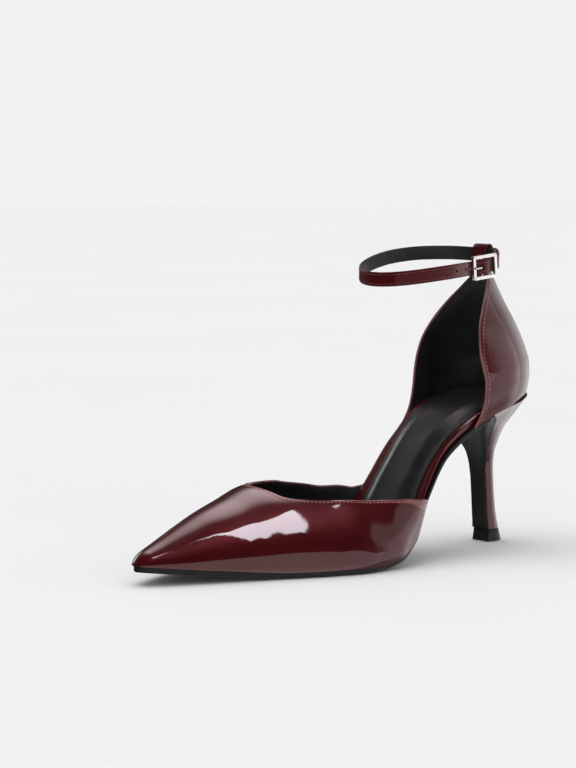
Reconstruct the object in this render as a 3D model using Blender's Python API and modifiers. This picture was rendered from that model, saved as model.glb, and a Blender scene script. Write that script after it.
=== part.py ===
"""Ankle strap pump, left shoe: a solid model of its pieces in metres, +Z up.

The toe points to -Y and the outer (lateral) side faces +X. The shoe stands on z = 0 on the flat under
its ball and on the heel's top piece, whose bottom centre is the origin. A place along the shoe is
given as `at`, the distance forward of the back of the heel.
"""
import math

import bmesh
import bpy
import numpy as np
from mathutils import Matrix, Vector

# Driving dimensions of the whole shoe
SHOE_LENGTH = 0.228
SEAT_HEIGHT = 0.0740
BALL_WIDTH = 0.077
TOE_SPRING = 0.0063
VAMP_HEIGHT = 0.0350
COUNTER_TOP = 0.1332
HEEL_REST = 0.0185
CLEARANCE = 0.0003

# Walls and layers
UPPER_WALL = 0.0018
OUTSOLE_THICKNESS = 0.0026
INSOLE_THICKNESS = 0.0040
SOCK_THICKNESS = 0.0018
FLAP_THICKNESS = 0.0008
OUTSOLE_INSET = 0.0008
STATION_COUNT = 41
WAIST_INSET = 0.0007
SOCK_WAIST_INSET = 0.0042
SOCK_EDGE_GAP = 0.0006

# Ends of the outline
SEAT_BACK = 0.0030
SEAT_ROUNDING = 0.032
TOE_ROUNDING = 0.007
INSOLE_TOE_GAP = 0.011
INSOLE_TOE_TAPER = 0.0012

# Heel and top piece
TOP_PIECE_HEIGHT = 0.0060
HEEL_DEPTH = 0.0390
HEEL_WIDTH = 0.0494
HEEL_CORNER = 0.0009
BREAST_HOLLOW = 0.0012

# Ankle strap, its loop and its buckle
STRAP_RISE = 0.0053
STRAP_HEIGHT = COUNTER_TOP + STRAP_RISE
STRAP_REACH = 0.0770
STRAP_SPREAD = 0.0487
STRAP_DROOP = 0.0095
STRAP_WIDTH = 0.0066
STRAP_THICKNESS = 0.0011
STRAP_FOLD_THICKNESS = 0.0007
STRAP_BACK = 0.0226
PIN_HOLE = 0.0024
PIN_HOLE_PITCH = 0.0095
LOOP_WIDTH = 0.0105
LOOP_WALL = 0.0009
LOOP_PLAY = 0.0004
LOOP_OFFSET = 0.0004
BUCKLE_LENGTH = 0.0170
BUCKLE_HEIGHT = 0.0115
BUCKLE_BAR = 0.0017
BUCKLE_DIP = 0.0020
HINGE_BAR = 0.0014
PRONG = 0.0010
BUCKLE_YAW = math.radians(6.7)
BUCKLE_PITCH = math.radians(5.4)

# Half widths of the feather line, where upper meets sole, as shares of BALL_WIDTH
OUTLINE_COLUMNS = ("at", "lateral", "medial")
OUTLINE = [
    (0.000, 0.325, 0.335),
    (0.105, 0.335, 0.345),
    (0.175, 0.338, 0.334),
    (0.237, 0.336, 0.290),
    (0.298, 0.335, 0.240),
    (0.360, 0.369, 0.240),
    (0.421, 0.450, 0.318),
    (0.482, 0.500, 0.412),
    (0.553, 0.508, 0.487),
    (0.623, 0.466, 0.502),
    (0.710, 0.372, 0.440),
    (0.820, 0.257, 0.324),
    (0.908, 0.156, 0.210),
    (0.969, 0.080, 0.120),
    (1.000, 0.045, 0.075),
]

# Feather line from the side: rise as a share of the seat's rise, spring as a share of TOE_SPRING,
# board as a share of INSOLE_THICKNESS
PROFILE_COLUMNS = ("at", "rise", "spring", "board")
PROFILE = [
    (0.000, 1.000, 0.00, 0.80),
    (0.035, 0.974, 0.00, 0.82),
    (0.096, 0.935, 0.00, 0.88),
    (0.140, 0.899, 0.00, 0.92),
    (0.184, 0.853, 0.00, 0.96),
    (0.228, 0.791, 0.00, 1.00),
    (0.294, 0.655, 0.00, 1.00),
    (0.360, 0.405, 0.00, 1.00),
    (0.417, 0.150, 0.00, 0.92),
    (0.474, 0.038, 0.00, 0.80),
    (0.535, 0.004, 0.00, 0.70),
    (0.600, 0.000, 0.00, 0.65),
    (0.690, 0.000, 0.00, 0.60),
    (0.842, 0.000, 0.42, 0.50),
    (1.000, 0.000, 1.00, 0.40),
]

# Vamp sections: ridge height over the feather line as a share of VAMP_HEIGHT, lean of the ridge to the
# medial side and swell of the wall. Behind the throat the ridge only guides the two sides.
VAMP_COLUMNS = ("at", "height", "lean", "swell")
VAMP = [
    (0.360, 1.10, 0.100, 0.04),
    (0.450, 1.25, 0.110, 0.05),
    (0.540, 1.17, 0.120, 0.06),
    (0.620, 1.06, 0.130, 0.06),
    (0.697, 1.00, 0.128, 0.06),
    (0.766, 0.83, 0.105, 0.06),
    (0.820, 0.68, 0.090, 0.05),
    (0.870, 0.52, 0.075, 0.04),
    (0.950, 0.25, 0.045, 0.03),
    (0.982, 0.155, 0.025, 0.02),
    (1.000, 0.12, 0.015, 0.02),
]
VAMP_FLANK = 0.42
VAMP_SHOULDER = 0.64
VAMP_CREST = 0.97

# Vamp topline: how far forward it lies at each height around the section, 0 feather line, 1 ridge
TOPLINE_COLUMNS = ("around", "lateral", "medial")
TOPLINE = [
    (0.00, 0.370, 0.378),
    (0.14, 0.388, 0.392),
    (0.30, 0.418, 0.413),
    (0.43, 0.465, 0.458),
    (0.57, 0.560, 0.515),
    (0.65, 0.630, 0.555),
    (0.70, 0.665, 0.573),
    (0.74, 0.677, 0.590),
    (0.82, 0.685, 0.625),
    (0.91, 0.692, 0.672),
    (1.00, 0.697, 0.697),
]

# Counter rows from the feather line up to COUNTER_TOP: back line and front edges as shares of
# SHOE_LENGTH, width as a factor on the feather line's
COUNTER_COLUMNS = ("level", "back", "width", "lateral", "medial")
COUNTER = [
    (0.00, 0.013, 1.000, 0.229, 0.245),
    (0.06, 0.008, 1.030, 0.213, 0.215),
    (0.17, 0.005, 1.055, 0.206, 0.199),
    (0.25, 0.006, 1.055, 0.205, 0.195),
    (0.35, 0.014, 1.035, 0.210, 0.190),
    (0.46, 0.026, 1.000, 0.216, 0.180),
    (0.60, 0.045, 0.930, 0.211, 0.156),
    (0.73, 0.065, 0.840, 0.192, 0.134),
    (0.86, 0.083, 0.750, 0.162, 0.113),
    (0.94, 0.092, 0.660, 0.136, 0.106),
    (1.00, 0.098, 0.600, 0.112, 0.112),
]

# Heel sections: height as a share of SEAT_HEIGHT at the back, back and front as shares of HEEL_DEPTH,
# half width as a share of HEEL_WIDTH, tilt towards the seat's slope, and how far the breast flap wraps
# around the sides as a share of HEEL_DEPTH
HEEL_COLUMNS = ("height", "back", "front", "half", "tilt", "wrap")
HEEL = [
    (0.000, 0.308, 0.620, 0.117, 0.00, 0.020),
    (0.081, 0.352, 0.606, 0.110, 0.00, 0.020),
    (0.190, 0.402, 0.622, 0.104, 0.00, 0.020),
    (0.338, 0.438, 0.640, 0.104, 0.00, 0.020),
    (0.486, 0.455, 0.664, 0.106, 0.00, 0.020),
    (0.581, 0.440, 0.702, 0.122, 0.00, 0.030),
    (0.662, 0.392, 0.768, 0.165, 0.10, 0.040),
    (0.757, 0.326, 0.866, 0.242, 0.30, 0.055),
    (0.865, 0.208, 0.968, 0.370, 0.65, 0.070),
    (0.993, 0.076, 1.064, 0.508, 1.00, 0.080),
]

# Centre line of the strap in plan, from the buckle's inner end through the loop and round the ankle
STRAP_COLUMNS = ("along", "across", "rise")
STRAP_INNER_END = [
    (0.050, 0.232, -0.26),
    (0.010, 0.130, 0.00),
    (0.010, -0.041, 0.00),
]
STRAP_ROUND = [
    (0.012, -0.175, 0.03),
    (0.077, -0.329, 0.07),
    (0.187, -0.421, 0.08),
    (0.330, -0.462, 0.05),
    (0.512, -0.456, -0.08),
    (0.681, -0.390, -0.29),
    (0.823, -0.298, -0.55),
    (0.927, -0.164, -0.77),
    (0.986, 0.000, -0.93),
    (0.999, 0.185, -1.00),
    (0.940, 0.370, -0.97),
    (0.810, 0.503, -0.84),
    (0.603, 0.530, -0.68),
    (0.434, 0.455, -0.60),
]
STRAP_CENTRE = (0.35, 0.0)
BUCKLE_PLACE = (0.217, 0.3655, -0.516)

MATERIALS = {
    # name: colour, roughness, metallic
    "patent": ((0.072, 0.008, 0.010), 0.08, 0.0),
    "black_leather": ((0.012, 0.012, 0.013), 0.45, 0.0),
    "sole_rubber": ((0.016, 0.017, 0.018), 0.55, 0.0),
    "silver": ((0.82, 0.80, 0.77), 0.18, 1.0),
}


def clear_scene():
    for thing in list(bpy.data.objects):
        bpy.data.objects.remove(thing, do_unlink=True)


def collection(name):
    made = bpy.data.collections.new(name)
    bpy.context.scene.collection.children.link(made)
    return made


def material(name, slot):
    colour, roughness, metallic = MATERIALS[name]
    made = bpy.data.materials.new(slot)
    made.use_nodes = True
    shader = made.node_tree.nodes["Principled BSDF"]
    shader.inputs["Base Color"].default_value = (*colour, 1.0)
    shader.inputs["Roughness"].default_value = roughness
    shader.inputs["Metallic"].default_value = metallic
    return made


def column(table, columns, name):
    place = columns.index(name)
    return [row[place] for row in table]


def smooth(xs, ys, x):
    """Monotone cubic through the points, after Fritsch and Carlson."""
    xs, ys = np.asarray(xs, float), np.asarray(ys, float)
    x = np.clip(np.asarray(x, float), xs[0], xs[-1])
    step = np.diff(xs)
    slope = np.diff(ys) / step
    grade = np.zeros(len(xs))
    grade[0], grade[-1] = slope[0], slope[-1]
    for i in range(1, len(xs) - 1):
        if slope[i - 1] * slope[i] > 0:
            before = 2 * step[i] + step[i - 1]
            after = step[i] + 2 * step[i - 1]
            grade[i] = (before + after) / (before / slope[i - 1] + after / slope[i])
    k = np.clip(np.searchsorted(xs, x) - 1, 0, len(step) - 1)
    t = (x - xs[k]) / step[k]
    return ((2 * t**3 - 3 * t**2 + 1) * ys[k] + (t**3 - 2 * t**2 + t) * step[k] * grade[k]
            + (-2 * t**3 + 3 * t**2) * ys[k + 1] + (t**3 - t**2) * step[k] * grade[k + 1])


def look_up(table, columns, name, x):
    return smooth(column(table, columns, columns[0]), column(table, columns, name), x)


def rounding(share, power=2.0):
    """Quarter of a superellipse: 0 at share 0, 1 from share 1 on."""
    share = np.clip(share, 0, 1)
    return np.maximum(1 - (1 - share)**power, 0)**(1 / power)


def bump(x, start, rise, fall, end):
    """1 between rise and fall, 0 outside start and end, with soft flanks."""
    up = np.clip((x - start) / (rise - start), 0, 1)
    down = np.clip((end - x) / (end - fall), 0, 1)
    share = np.minimum(up, down)
    return share * share * (3 - 2 * share)


def side_name(side):
    return "lateral" if side > 0 else "medial"


def half_width(at, side, inset=0.0, back=SEAT_BACK):
    """Distance from the centre line to the feather line, or to a line inside it."""
    table_width = look_up(OUTLINE, OUTLINE_COLUMNS, side_name(side), at / SHOE_LENGTH) * BALL_WIDTH
    heel_end = rounding((at - back - inset) / (SEAT_ROUNDING - inset))
    toe_end = rounding((SHOE_LENGTH - inset - at) / TOE_ROUNDING)
    return (table_width - inset) * heel_end * toe_end


def feather_height(at):
    share = at / SHOE_LENGTH
    rise = look_up(PROFILE, PROFILE_COLUMNS, "rise", share) * (SEAT_HEIGHT - OUTSOLE_THICKNESS)
    spring = look_up(PROFILE, PROFILE_COLUMNS, "spring", share) * TOE_SPRING
    return OUTSOLE_THICKNESS + rise + spring


def board_thickness(at):
    return look_up(PROFILE, PROFILE_COLUMNS, "board", at / SHOE_LENGTH) * INSOLE_THICKNESS


def place(at, x, z):
    """World coordinates of a point given by its distance forward of the heel's back."""
    at, x, z = np.broadcast_arrays(at, x, z)
    return np.stack([x, HEEL_REST - at, z], -1)


def vamp_point(at, around, side):
    """Outer face of the vamp: around is 0 at the feather line and 1 on the ridge."""
    share = at / SHOE_LENGTH
    toe_end = rounding((SHOE_LENGTH - at) / TOE_ROUNDING)
    height = look_up(VAMP, VAMP_COLUMNS, "height", share) * VAMP_HEIGHT * toe_end
    ridge = -look_up(VAMP, VAMP_COLUMNS, "lean", share) * BALL_WIDTH * toe_end
    swell = look_up(VAMP, VAMP_COLUMNS, "swell", share)
    foot, flank = (1 - around)**3, 3 * (1 - around)**2 * around
    crown, top = 3 * (1 - around) * around**2, around**3
    out = foot + flank * (1 + swell) + crown * VAMP_SHOULDER
    up = flank * VAMP_FLANK + crown * VAMP_CREST + top
    x = ridge + (side * half_width(at, side) - ridge) * out
    return place(at, x, feather_height(at) + up * height)


def counter_point(level, share, side):
    """Outer face of the counter: share is 0 on the back line and 1 on that side's front edge."""
    back = look_up(COUNTER, COUNTER_COLUMNS, "back", level) * SHOE_LENGTH
    front = look_up(COUNTER, COUNTER_COLUMNS, side_name(side), level) * SHOE_LENGTH
    width = look_up(COUNTER, COUNTER_COLUMNS, "width", level)
    forward = share * (front - back)
    at = back + forward
    x = side * half_width(forward, side, back=0.0) * width
    bottom = feather_height(at)
    return place(at, x, bottom + level * (COUNTER_TOP - bottom))


def mesh_object(name, verts, faces, owner, paint, merge=1e-6):
    """A mesh object from computed rings, with doubled points at poles merged."""
    mesh = bpy.data.meshes.new(name)
    shape = bmesh.new()
    points = [shape.verts.new(v) for v in verts]
    for face in faces:
        shape.faces.new([points[i] for i in face])
    bmesh.ops.remove_doubles(shape, verts=shape.verts, dist=merge)
    bmesh.ops.recalc_face_normals(shape, faces=shape.faces)
    shape.to_mesh(mesh)
    shape.free()
    mesh.shade_smooth()
    mesh.set_sharp_from_angle(angle=math.radians(40))
    made = bpy.data.objects.new(name, mesh)
    owner.objects.link(made)
    mesh.materials.append(paint)
    return made


def sheet(name, grid, owner, paint, outward, thickness):
    """An open loft over a grid of points, given its wall by Solidify on the inner side."""
    rows, columns, _ = grid.shape
    verts = grid.reshape(-1, 3)
    faces = []
    for r in range(rows - 1):
        for c in range(columns - 1):
            a = r * columns + c
            quad = (a, a + 1, a + columns + 1, a + columns)
            faces.append(quad if outward else quad[::-1])
    mesh = bpy.data.meshes.new(name)
    shape = bmesh.new()
    points = [shape.verts.new(v) for v in verts]
    for face in faces:
        shape.faces.new([points[i] for i in face])
    bmesh.ops.remove_doubles(shape, verts=shape.verts, dist=1e-6)
    shape.to_mesh(mesh)
    shape.free()
    mesh.shade_smooth()
    made = bpy.data.objects.new(name, mesh)
    owner.objects.link(made)
    mesh.materials.append(paint)
    wall = made.modifiers.new("wall", "SOLIDIFY")
    wall.thickness = thickness
    wall.offset = -1.0
    wall.use_even_offset = False
    wall.use_quality_normals = True
    return made


def shell(name, outer, inner, owner, paint):
    """A closed body between two grids of the same size, joined along their four edges."""
    rows, columns, _ = outer.shape
    verts = np.concatenate([outer.reshape(-1, 3), inner.reshape(-1, 3)])
    apart = rows * columns
    faces = []
    for r in range(rows - 1):
        for c in range(columns - 1):
            a = r * columns + c
            faces.append((a, a + 1, a + columns + 1, a + columns))
            faces.append((apart + a, apart + a + columns, apart + a + columns + 1, apart + a + 1))
    rim = [c for c in range(columns)] + [r * columns + columns - 1 for r in range(1, rows)]
    rim += [(rows - 1) * columns + c for c in range(columns - 2, -1, -1)]
    rim += [r * columns for r in range(rows - 2, 0, -1)]
    for i, a in enumerate(rim):
        b = rim[(i + 1) % len(rim)]
        faces.append((a, b, apart + b, apart + a))
    return mesh_object(name, verts, faces, owner, paint)


def loft(name, rings, owner, paint):
    """A closed body through rings of the same number of points, with its two ends capped."""
    count, size, _ = rings.shape
    verts = rings.reshape(-1, 3)
    faces = []
    for r in range(count - 1):
        for c in range(size):
            d = (c + 1) % size
            faces.append((r * size + c, r * size + d, (r + 1) * size + d, (r + 1) * size + c))
    faces.append(tuple(range(size)))
    faces.append(tuple((count - 1) * size + c for c in range(size)))
    return mesh_object(name, verts, faces, owner, paint)


def boolean(target, cutter, operation):
    modifier = target.modifiers.new(operation.lower(), "BOOLEAN")
    modifier.operation = operation
    modifier.solver = "EXACT"
    modifier.object = cutter
    cutter.hide_render = True
    cutter.display_type = "WIRE"


def stations(start, end):
    """Places along the shoe: the same ones for every layer, with closer ones at its own two ends."""
    shared = np.linspace(0.0, 1.0, STATION_COUNT) * SHOE_LENGTH
    near_end = np.array([0.0, 0.019, 0.069, 0.156]) * SEAT_ROUNDING
    room = near_end[-1] + 0.060 * SEAT_ROUNDING
    inside = [x for x in shared if start + room < x < end - room]
    return np.concatenate([start + near_end, inside, end - near_end[::-1]])


def make_vamp(owner):
    across = np.concatenate([np.linspace(0, 1, 11), np.linspace(1, 0, 11)[1:]])
    sides = np.concatenate([np.ones(11), -np.ones(10)])
    forward = 1 - (1 - np.linspace(0, 1, 27))**1.25
    grid = np.zeros((len(forward), len(across), 3))
    for c, (around, side) in enumerate(zip(across, sides)):
        top = look_up(TOPLINE, TOPLINE_COLUMNS, side_name(side), around) * SHOE_LENGTH
        at = top + (SHOE_LENGTH - top) * forward
        grid[:, c] = vamp_point(at, around, side)
    return sheet("vamp", grid, owner, material("patent", "vamp"), False, UPPER_WALL)


def make_counter(owner):
    levels = np.array([0, .03, .06, .11, .17, .25, .33, .41, .5, .58, .66, .74, .81, .87, .92, .96, 1.0])
    reach = np.linspace(0, 1, 13)**1.7
    grid = np.zeros((len(levels), 25, 3))
    for r, level in enumerate(levels):
        lateral = counter_point(level, reach, 1)
        medial = counter_point(level, reach, -1)
        grid[r] = np.concatenate([lateral[::-1], medial[1:]])
    return sheet("counter", grid, owner, material("patent", "counter"), True, UPPER_WALL)


def slab_rings(at, width, bottom, top, crown=0.0):
    """Rings across the shoe for a slab between two heights, its top raised by crown at the middle."""
    across = np.linspace(-1, 1, 7)
    rings = []
    for i, here in enumerate(at):
        x = np.where(across > 0, across * width(here, 1), across * width(here, -1))
        low = place(here, x, bottom(here))
        high = place(here, x, top(here) + crown * (1 - across**2))
        rings.append(np.concatenate([low, high[::-1]]))
    return np.array(rings)


def breast_at():
    """Where the heel's front edge meets the seat."""
    return HEEL_DEPTH * look_up(HEEL, HEEL_COLUMNS, "front", 1.0)


def make_outsole(owner):
    inset = OUTSOLE_INSET
    at = stations(breast_at() + 2 * CLEARANCE, SHOE_LENGTH - inset - CLEARANCE)
    rings = slab_rings(at, lambda s, side: half_width(s, side, inset),
                       lambda s: feather_height(s) - OUTSOLE_THICKNESS,
                       lambda s: feather_height(s) - CLEARANCE)
    return loft("outsole", rings, owner, material("sole_rubber", "outsole"))


def board_inset(at):
    """Inside the upper's wall under vamp and counter, nearly flush with the feather line between."""
    counter_front = SHOE_LENGTH * max(row[3] for row in COUNTER[:1] + [(0, 0, 0, COUNTER[0][4])])
    vamp_back = SHOE_LENGTH * TOPLINE[0][1]
    ends = np.array([0.005, 0.026, -0.031, -0.009]) * SHOE_LENGTH
    waist = bump(at, *(counter_front + ends[:2]), *(vamp_back + ends[2:]))
    tucked = UPPER_WALL + 2 * CLEARANCE
    toe = np.clip((at - 0.80 * SHOE_LENGTH) / (0.15 * SHOE_LENGTH), 0, 1)
    return tucked + (WAIST_INSET - tucked) * waist + INSOLE_TOE_TAPER * toe


def board_width(at, side):
    return half_width(at, side, float(board_inset(at)))


def make_insole(owner):
    start = SEAT_BACK + UPPER_WALL + 3 * CLEARANCE
    at = stations(start, SHOE_LENGTH - INSOLE_TOE_GAP)
    rings = slab_rings(at, board_width, feather_height,
                       lambda s: feather_height(s) + board_thickness(s))
    return loft("insole", rings, owner, material("patent", "insole"))


def sock_width(at, side):
    waist = bump(at, 0.17 * SHOE_LENGTH, 0.26 * SHOE_LENGTH, 0.36 * SHOE_LENGTH, 0.46 * SHOE_LENGTH)
    edge = SOCK_EDGE_GAP + (SOCK_WAIST_INSET - SOCK_EDGE_GAP) * waist
    return half_width(at, side, float(board_inset(at) + edge))


def make_sock(owner):
    start = SEAT_BACK + UPPER_WALL + 3 * CLEARANCE + SOCK_EDGE_GAP + CLEARANCE
    at = stations(start, SHOE_LENGTH - INSOLE_TOE_GAP - 2 * SOCK_EDGE_GAP)
    seat = lambda s: feather_height(s) + board_thickness(s) + CLEARANCE
    rings = slab_rings(at, sock_width, seat, lambda s: seat(s) + SOCK_THICKNESS / 2, SOCK_THICKNESS / 2)
    return loft("sock", rings, owner, material("black_leather", "sock"))


def heel_sizes(height):
    """Back, front, half width, tilt and flap wrap of the heel's section at a share of SEAT_HEIGHT."""
    def get(name):
        return float(look_up(HEEL, HEEL_COLUMNS, name, height))
    return (get("back") * HEEL_DEPTH, get("front") * HEEL_DEPTH, get("half") * HEEL_WIDTH,
            get("tilt"), get("wrap") * HEEL_DEPTH)


def heel_height(at, height):
    """Height of a section at a place along it, level at the tip and along the seat at the top."""
    back, _, _, tilt, _ = heel_sizes(height)
    drop = feather_height(np.asarray(back)) - feather_height(np.asarray(at))
    return height * SEAT_HEIGHT - tilt * drop


def flare(height):
    """How much faster the section widens than it rises, as the length of its slope per unit of rise."""
    above, below = heel_sizes(min(height + 0.01, HEEL[-1][0])), heel_sizes(max(height - 0.01, 0.0))
    return math.hypot(1.0, (above[2] - below[2]) / (0.02 * SEAT_HEIGHT))


def front_edge(height, share, swell=0.0):
    """Front and side outline of a section: share runs from -1, back on the medial side, to 1."""
    back, front, half, _, wrap = heel_sizes(height)
    half, front = half + swell, front + swell
    hollow = BREAST_HOLLOW * half / (HEEL_WIDTH / 2)
    corner = HEEL_CORNER + swell
    side_end, corner_end = 0.60, 0.80
    s = abs(share)
    if s > corner_end:
        x = half
        at = front - corner - (s - corner_end) / (1 - corner_end) * wrap
    elif s > side_end:
        angle = math.pi / 2 * (s - side_end) / (corner_end - side_end)
        x = half - corner + corner * math.sin(angle)
        at = front - corner + corner * math.cos(angle)
    else:
        x = (half - corner) * s / side_end
        at = front - hollow * (1 - (s / side_end)**2)
    return math.copysign(x, share), at


def heel_ring(height, z_drop=0.0):
    """Closed outline of a heel section: a rounded back, straight sides and a flat breast."""
    back, front, half, _, _ = heel_sizes(height)
    middle = back + min(1.25 * half, 0.66 * (front - back))
    points = []
    for angle in np.linspace(-math.pi / 2, math.pi / 2, 15):
        points.append((half * math.sin(angle), middle - (middle - back) * math.cos(angle)))
    for share in (0.80, 0.70, 0.60, 0.30, 0.0, -0.30, -0.60, -0.70, -0.80):
        points.append(front_edge(height, share))
    x = np.array([p[0] for p in points])
    at = np.array([p[1] for p in points])
    return place(at, x, heel_height(at, height) - z_drop)


def heel_levels():
    """Heights of the heel's sections above the top piece."""
    lowest = (TOP_PIECE_HEIGHT + CLEARANCE) / SEAT_HEIGHT
    return np.concatenate([np.linspace(lowest, 0.58, 8), np.linspace(0.58, HEEL[-1][0], 11)[1:]])


def make_heel(owner):
    heights = heel_levels()
    rings = [heel_ring(height) for height in heights]
    rings[-1][:, 2] = feather_height(HEEL_REST - rings[-1][:, 1]) - CLEARANCE
    return loft("heel", np.array(rings), owner, material("patent", "heel"))


def make_top_piece(owner):
    rings = [heel_ring(z / SEAT_HEIGHT) for z in (0.0, 0.5 * TOP_PIECE_HEIGHT, TOP_PIECE_HEIGHT)]
    return loft("top_piece", np.array(rings), owner, material("sole_rubber", "top_piece"))


def make_flap(owner):
    """The thin cover that runs from the sole down the breast of the heel and laps onto its sides."""
    heights = heel_levels()[:-1]
    shares = (-1.0, -0.9, -0.80, -0.70, -0.60, -0.30, 0.0, 0.30, 0.60, 0.70, 0.80, 0.9, 1.0)
    faces = []
    for swell in (CLEARANCE + FLAP_THICKNESS, CLEARANCE):
        grid = np.zeros((len(heights), len(shares), 3))
        for r, height in enumerate(heights):
            edge = [front_edge(height, share, swell * flare(height)) for share in shares]
            x = np.array([p[0] for p in edge])
            at = np.array([p[1] for p in edge])
            grid[r] = place(at, x, heel_height(at, height))
        faces.append(grid)
    return shell("heel_flap", *faces, owner, material("sole_rubber", "heel_flap"))


def strap_place(along, across, rise):
    return place(STRAP_BACK + along * STRAP_REACH, across * STRAP_SPREAD,
                 STRAP_HEIGHT + rise * STRAP_DROOP)


def buckle_frame_axes():
    """Buckle's centre and axes: towards the heel along the strap, outward, and across the strap."""
    centre = Vector(strap_place(*BUCKLE_PLACE))
    along = Vector((-math.sin(BUCKLE_YAW), math.cos(BUCKLE_YAW), 0.0)) * math.cos(BUCKLE_PITCH)
    along.z = math.sin(BUCKLE_PITCH)
    outward = Vector((math.cos(BUCKLE_YAW), math.sin(BUCKLE_YAW), 0.0))
    return centre, along, outward, outward.cross(along)


def at_buckle(p, q, r=0.0):
    centre, along, outward, up = buckle_frame_axes()
    return centre + along * p + outward * q + up * r


def spline(points, count=8):
    """Points of a smooth curve through the given ones."""
    points = [Vector(p) for p in points]
    ends = [2 * points[0] - points[1]] + points + [2 * points[-1] - points[-2]]
    curve = []
    for a, b, c, d in zip(ends, ends[1:], ends[2:], ends[3:]):
        for t in np.linspace(0, 1, count, endpoint=False):
            curve.append(0.5 * (2 * b + (c - a) * t + (2 * a - 5 * b + 4 * c - d) * t**2
                                + (3 * b - a - 3 * c + d) * t**3))
    curve.append(points[-1])
    return curve


def strap_path():
    """The strap's centre line, its thickness and its upward direction at each point."""
    half_bar = BUCKLE_LENGTH / 2 - BUCKLE_BAR / 2
    under_bar = BUCKLE_BAR / 2 + 1.4 * CLEARANCE + STRAP_THICKNESS / 2
    bar = -BUCKLE_DIP
    fold = HINGE_BAR / 2 + CLEARANCE / 2 + STRAP_FOLD_THICKNESS / 2
    layer = STRAP_THICKNESS + 1.4 * CLEARANCE
    over_bar = bar + fold + STRAP_FOLD_THICKNESS / 2 + 1.7 * CLEARANCE + STRAP_THICKNESS / 2
    inside = half_bar - BUCKLE_BAR / 2 - CLEARANCE
    outside = BUCKLE_LENGTH / 2 + CLEARANCE
    start = [at_buckle(2.9 * fold, bar - 1.1 * fold), at_buckle(0.8 * fold, bar - fold)]
    for angle in np.radians([-60, -30, 0, 30, 60]):
        start.append(at_buckle(-fold * math.cos(angle), bar + fold * math.sin(angle)))
    start.append(at_buckle(0.6 * fold, bar + fold))
    start.append(at_buckle(half_bar * 0.52, bar + fold - 1.15 * STRAP_THICKNESS))
    start.append(at_buckle(half_bar * 0.86, -under_bar - layer))
    inner = [Vector(strap_place(*row)) for row in STRAP_INNER_END]
    around = [Vector(strap_place(*row)) for row in STRAP_ROUND]
    rise = half_bar * 0.34
    through = [at_buckle(-outside, -under_bar), at_buckle(-inside, -under_bar),
               at_buckle(-rise, over_bar - 0.45 * STRAP_THICKNESS), at_buckle(0.0, over_bar), at_buckle(rise, over_bar - 0.45 * STRAP_THICKNESS),
               at_buckle(inside, -under_bar), at_buckle(outside, -under_bar)]
    middle = Vector(strap_place(*STRAP_CENTRE, 0.0))
    tail = []
    for point in inner:
        out = point - middle
        out.z = 0.0
        tail.append(point + out.normalized() * layer)
    points = start + inner + around + through + tail
    level, tilted = Vector((0, 0, 1)), buckle_frame_axes()[3]
    lean = [tilted] * len(start) + [level] * (len(inner) + len(around)) + [tilted] * len(through)
    lean += [level] * len(tail)
    curve = spline(points, 4)
    thin = spline([Vector((STRAP_FOLD_THICKNESS, 0, 0))] * (len(start) - 1)
                  + [Vector((STRAP_THICKNESS, 0, 0))] * (len(points) - len(start) + 1), 4)
    return curve, [t.x for t in thin], spline(lean, 4)


def ribbon_rings(curve, thickness, lean, width):
    """Chamfered band sections square to a curve, their long side as near upward as that allows."""
    rings = []
    count = len(curve)
    for i in range(count):
        tangent = (curve[min(i + 1, count - 1)] - curve[max(i - 1, 0)]).normalized()
        upright = lean[i] - tangent * tangent.dot(lean[i])
        upright.normalize()
        out = tangent.cross(upright)
        t, w = thickness[i] / 2, width / 2
        chamfer = 0.45 * t
        corners = [(t - chamfer, w), (t, w - chamfer), (t, -w + chamfer), (t - chamfer, -w),
                   (-t + chamfer, -w), (-t, -w + chamfer), (-t, w - chamfer), (-t + chamfer, w)]
        rings.append([curve[i] + out * a + upright * b for a, b in corners])
    return np.array([[tuple(v) for v in ring] for ring in rings])


def rod(name, points, radius, owner, paint, resolution=3):
    """A round wire along points, made a closed mesh."""
    data = bpy.data.curves.new(name, "CURVE")
    data.dimensions = "3D"
    line = data.splines.new("POLY")
    line.points.add(len(points) - 1)
    for point, place_at in zip(line.points, points):
        point.co = (*place_at, 1.0)
    data.bevel_depth = radius
    data.bevel_resolution = resolution
    data.use_fill_caps = True
    wire = bpy.data.objects.new(name + "_wire", data)
    owner.objects.link(wire)
    bpy.context.view_layer.update()
    mesh = bpy.data.meshes.new_from_object(wire.evaluated_get(bpy.context.evaluated_depsgraph_get()))
    shape = bmesh.new()
    shape.from_mesh(mesh)
    bmesh.ops.remove_doubles(shape, verts=shape.verts, dist=1e-6)
    bmesh.ops.recalc_face_normals(shape, faces=shape.faces)
    shape.to_mesh(mesh)
    shape.free()
    mesh.name = name
    made = bpy.data.objects.new(name, mesh)
    made.matrix_world = wire.matrix_world
    owner.objects.link(made)
    bpy.data.objects.remove(wire, do_unlink=True)
    mesh.materials.clear()
    mesh.materials.append(paint)
    mesh.shade_smooth()
    return made


def make_strap(owner, cutters):
    curve, thickness, lean = strap_path()
    rings = ribbon_rings(curve, thickness, lean, STRAP_WIDTH)
    strap = loft("ankle_strap", rings, owner, material("patent", "ankle_strap"))
    paint = material("patent", "cutter")
    holes = pin_hole_places(curve)
    for i, (spot, out) in enumerate(holes):
        reach = out * (STRAP_THICKNESS if i else STRAP_THICKNESS * 0.85)
        cutter = rod(f"pin_hole_{i}", [spot - reach, spot + reach], PIN_HOLE / 2, cutters, paint, 2)
        boolean(strap, cutter, "DIFFERENCE")
    boolean(strap, prong_slot(cutters, paint), "DIFFERENCE")
    return strap


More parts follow.
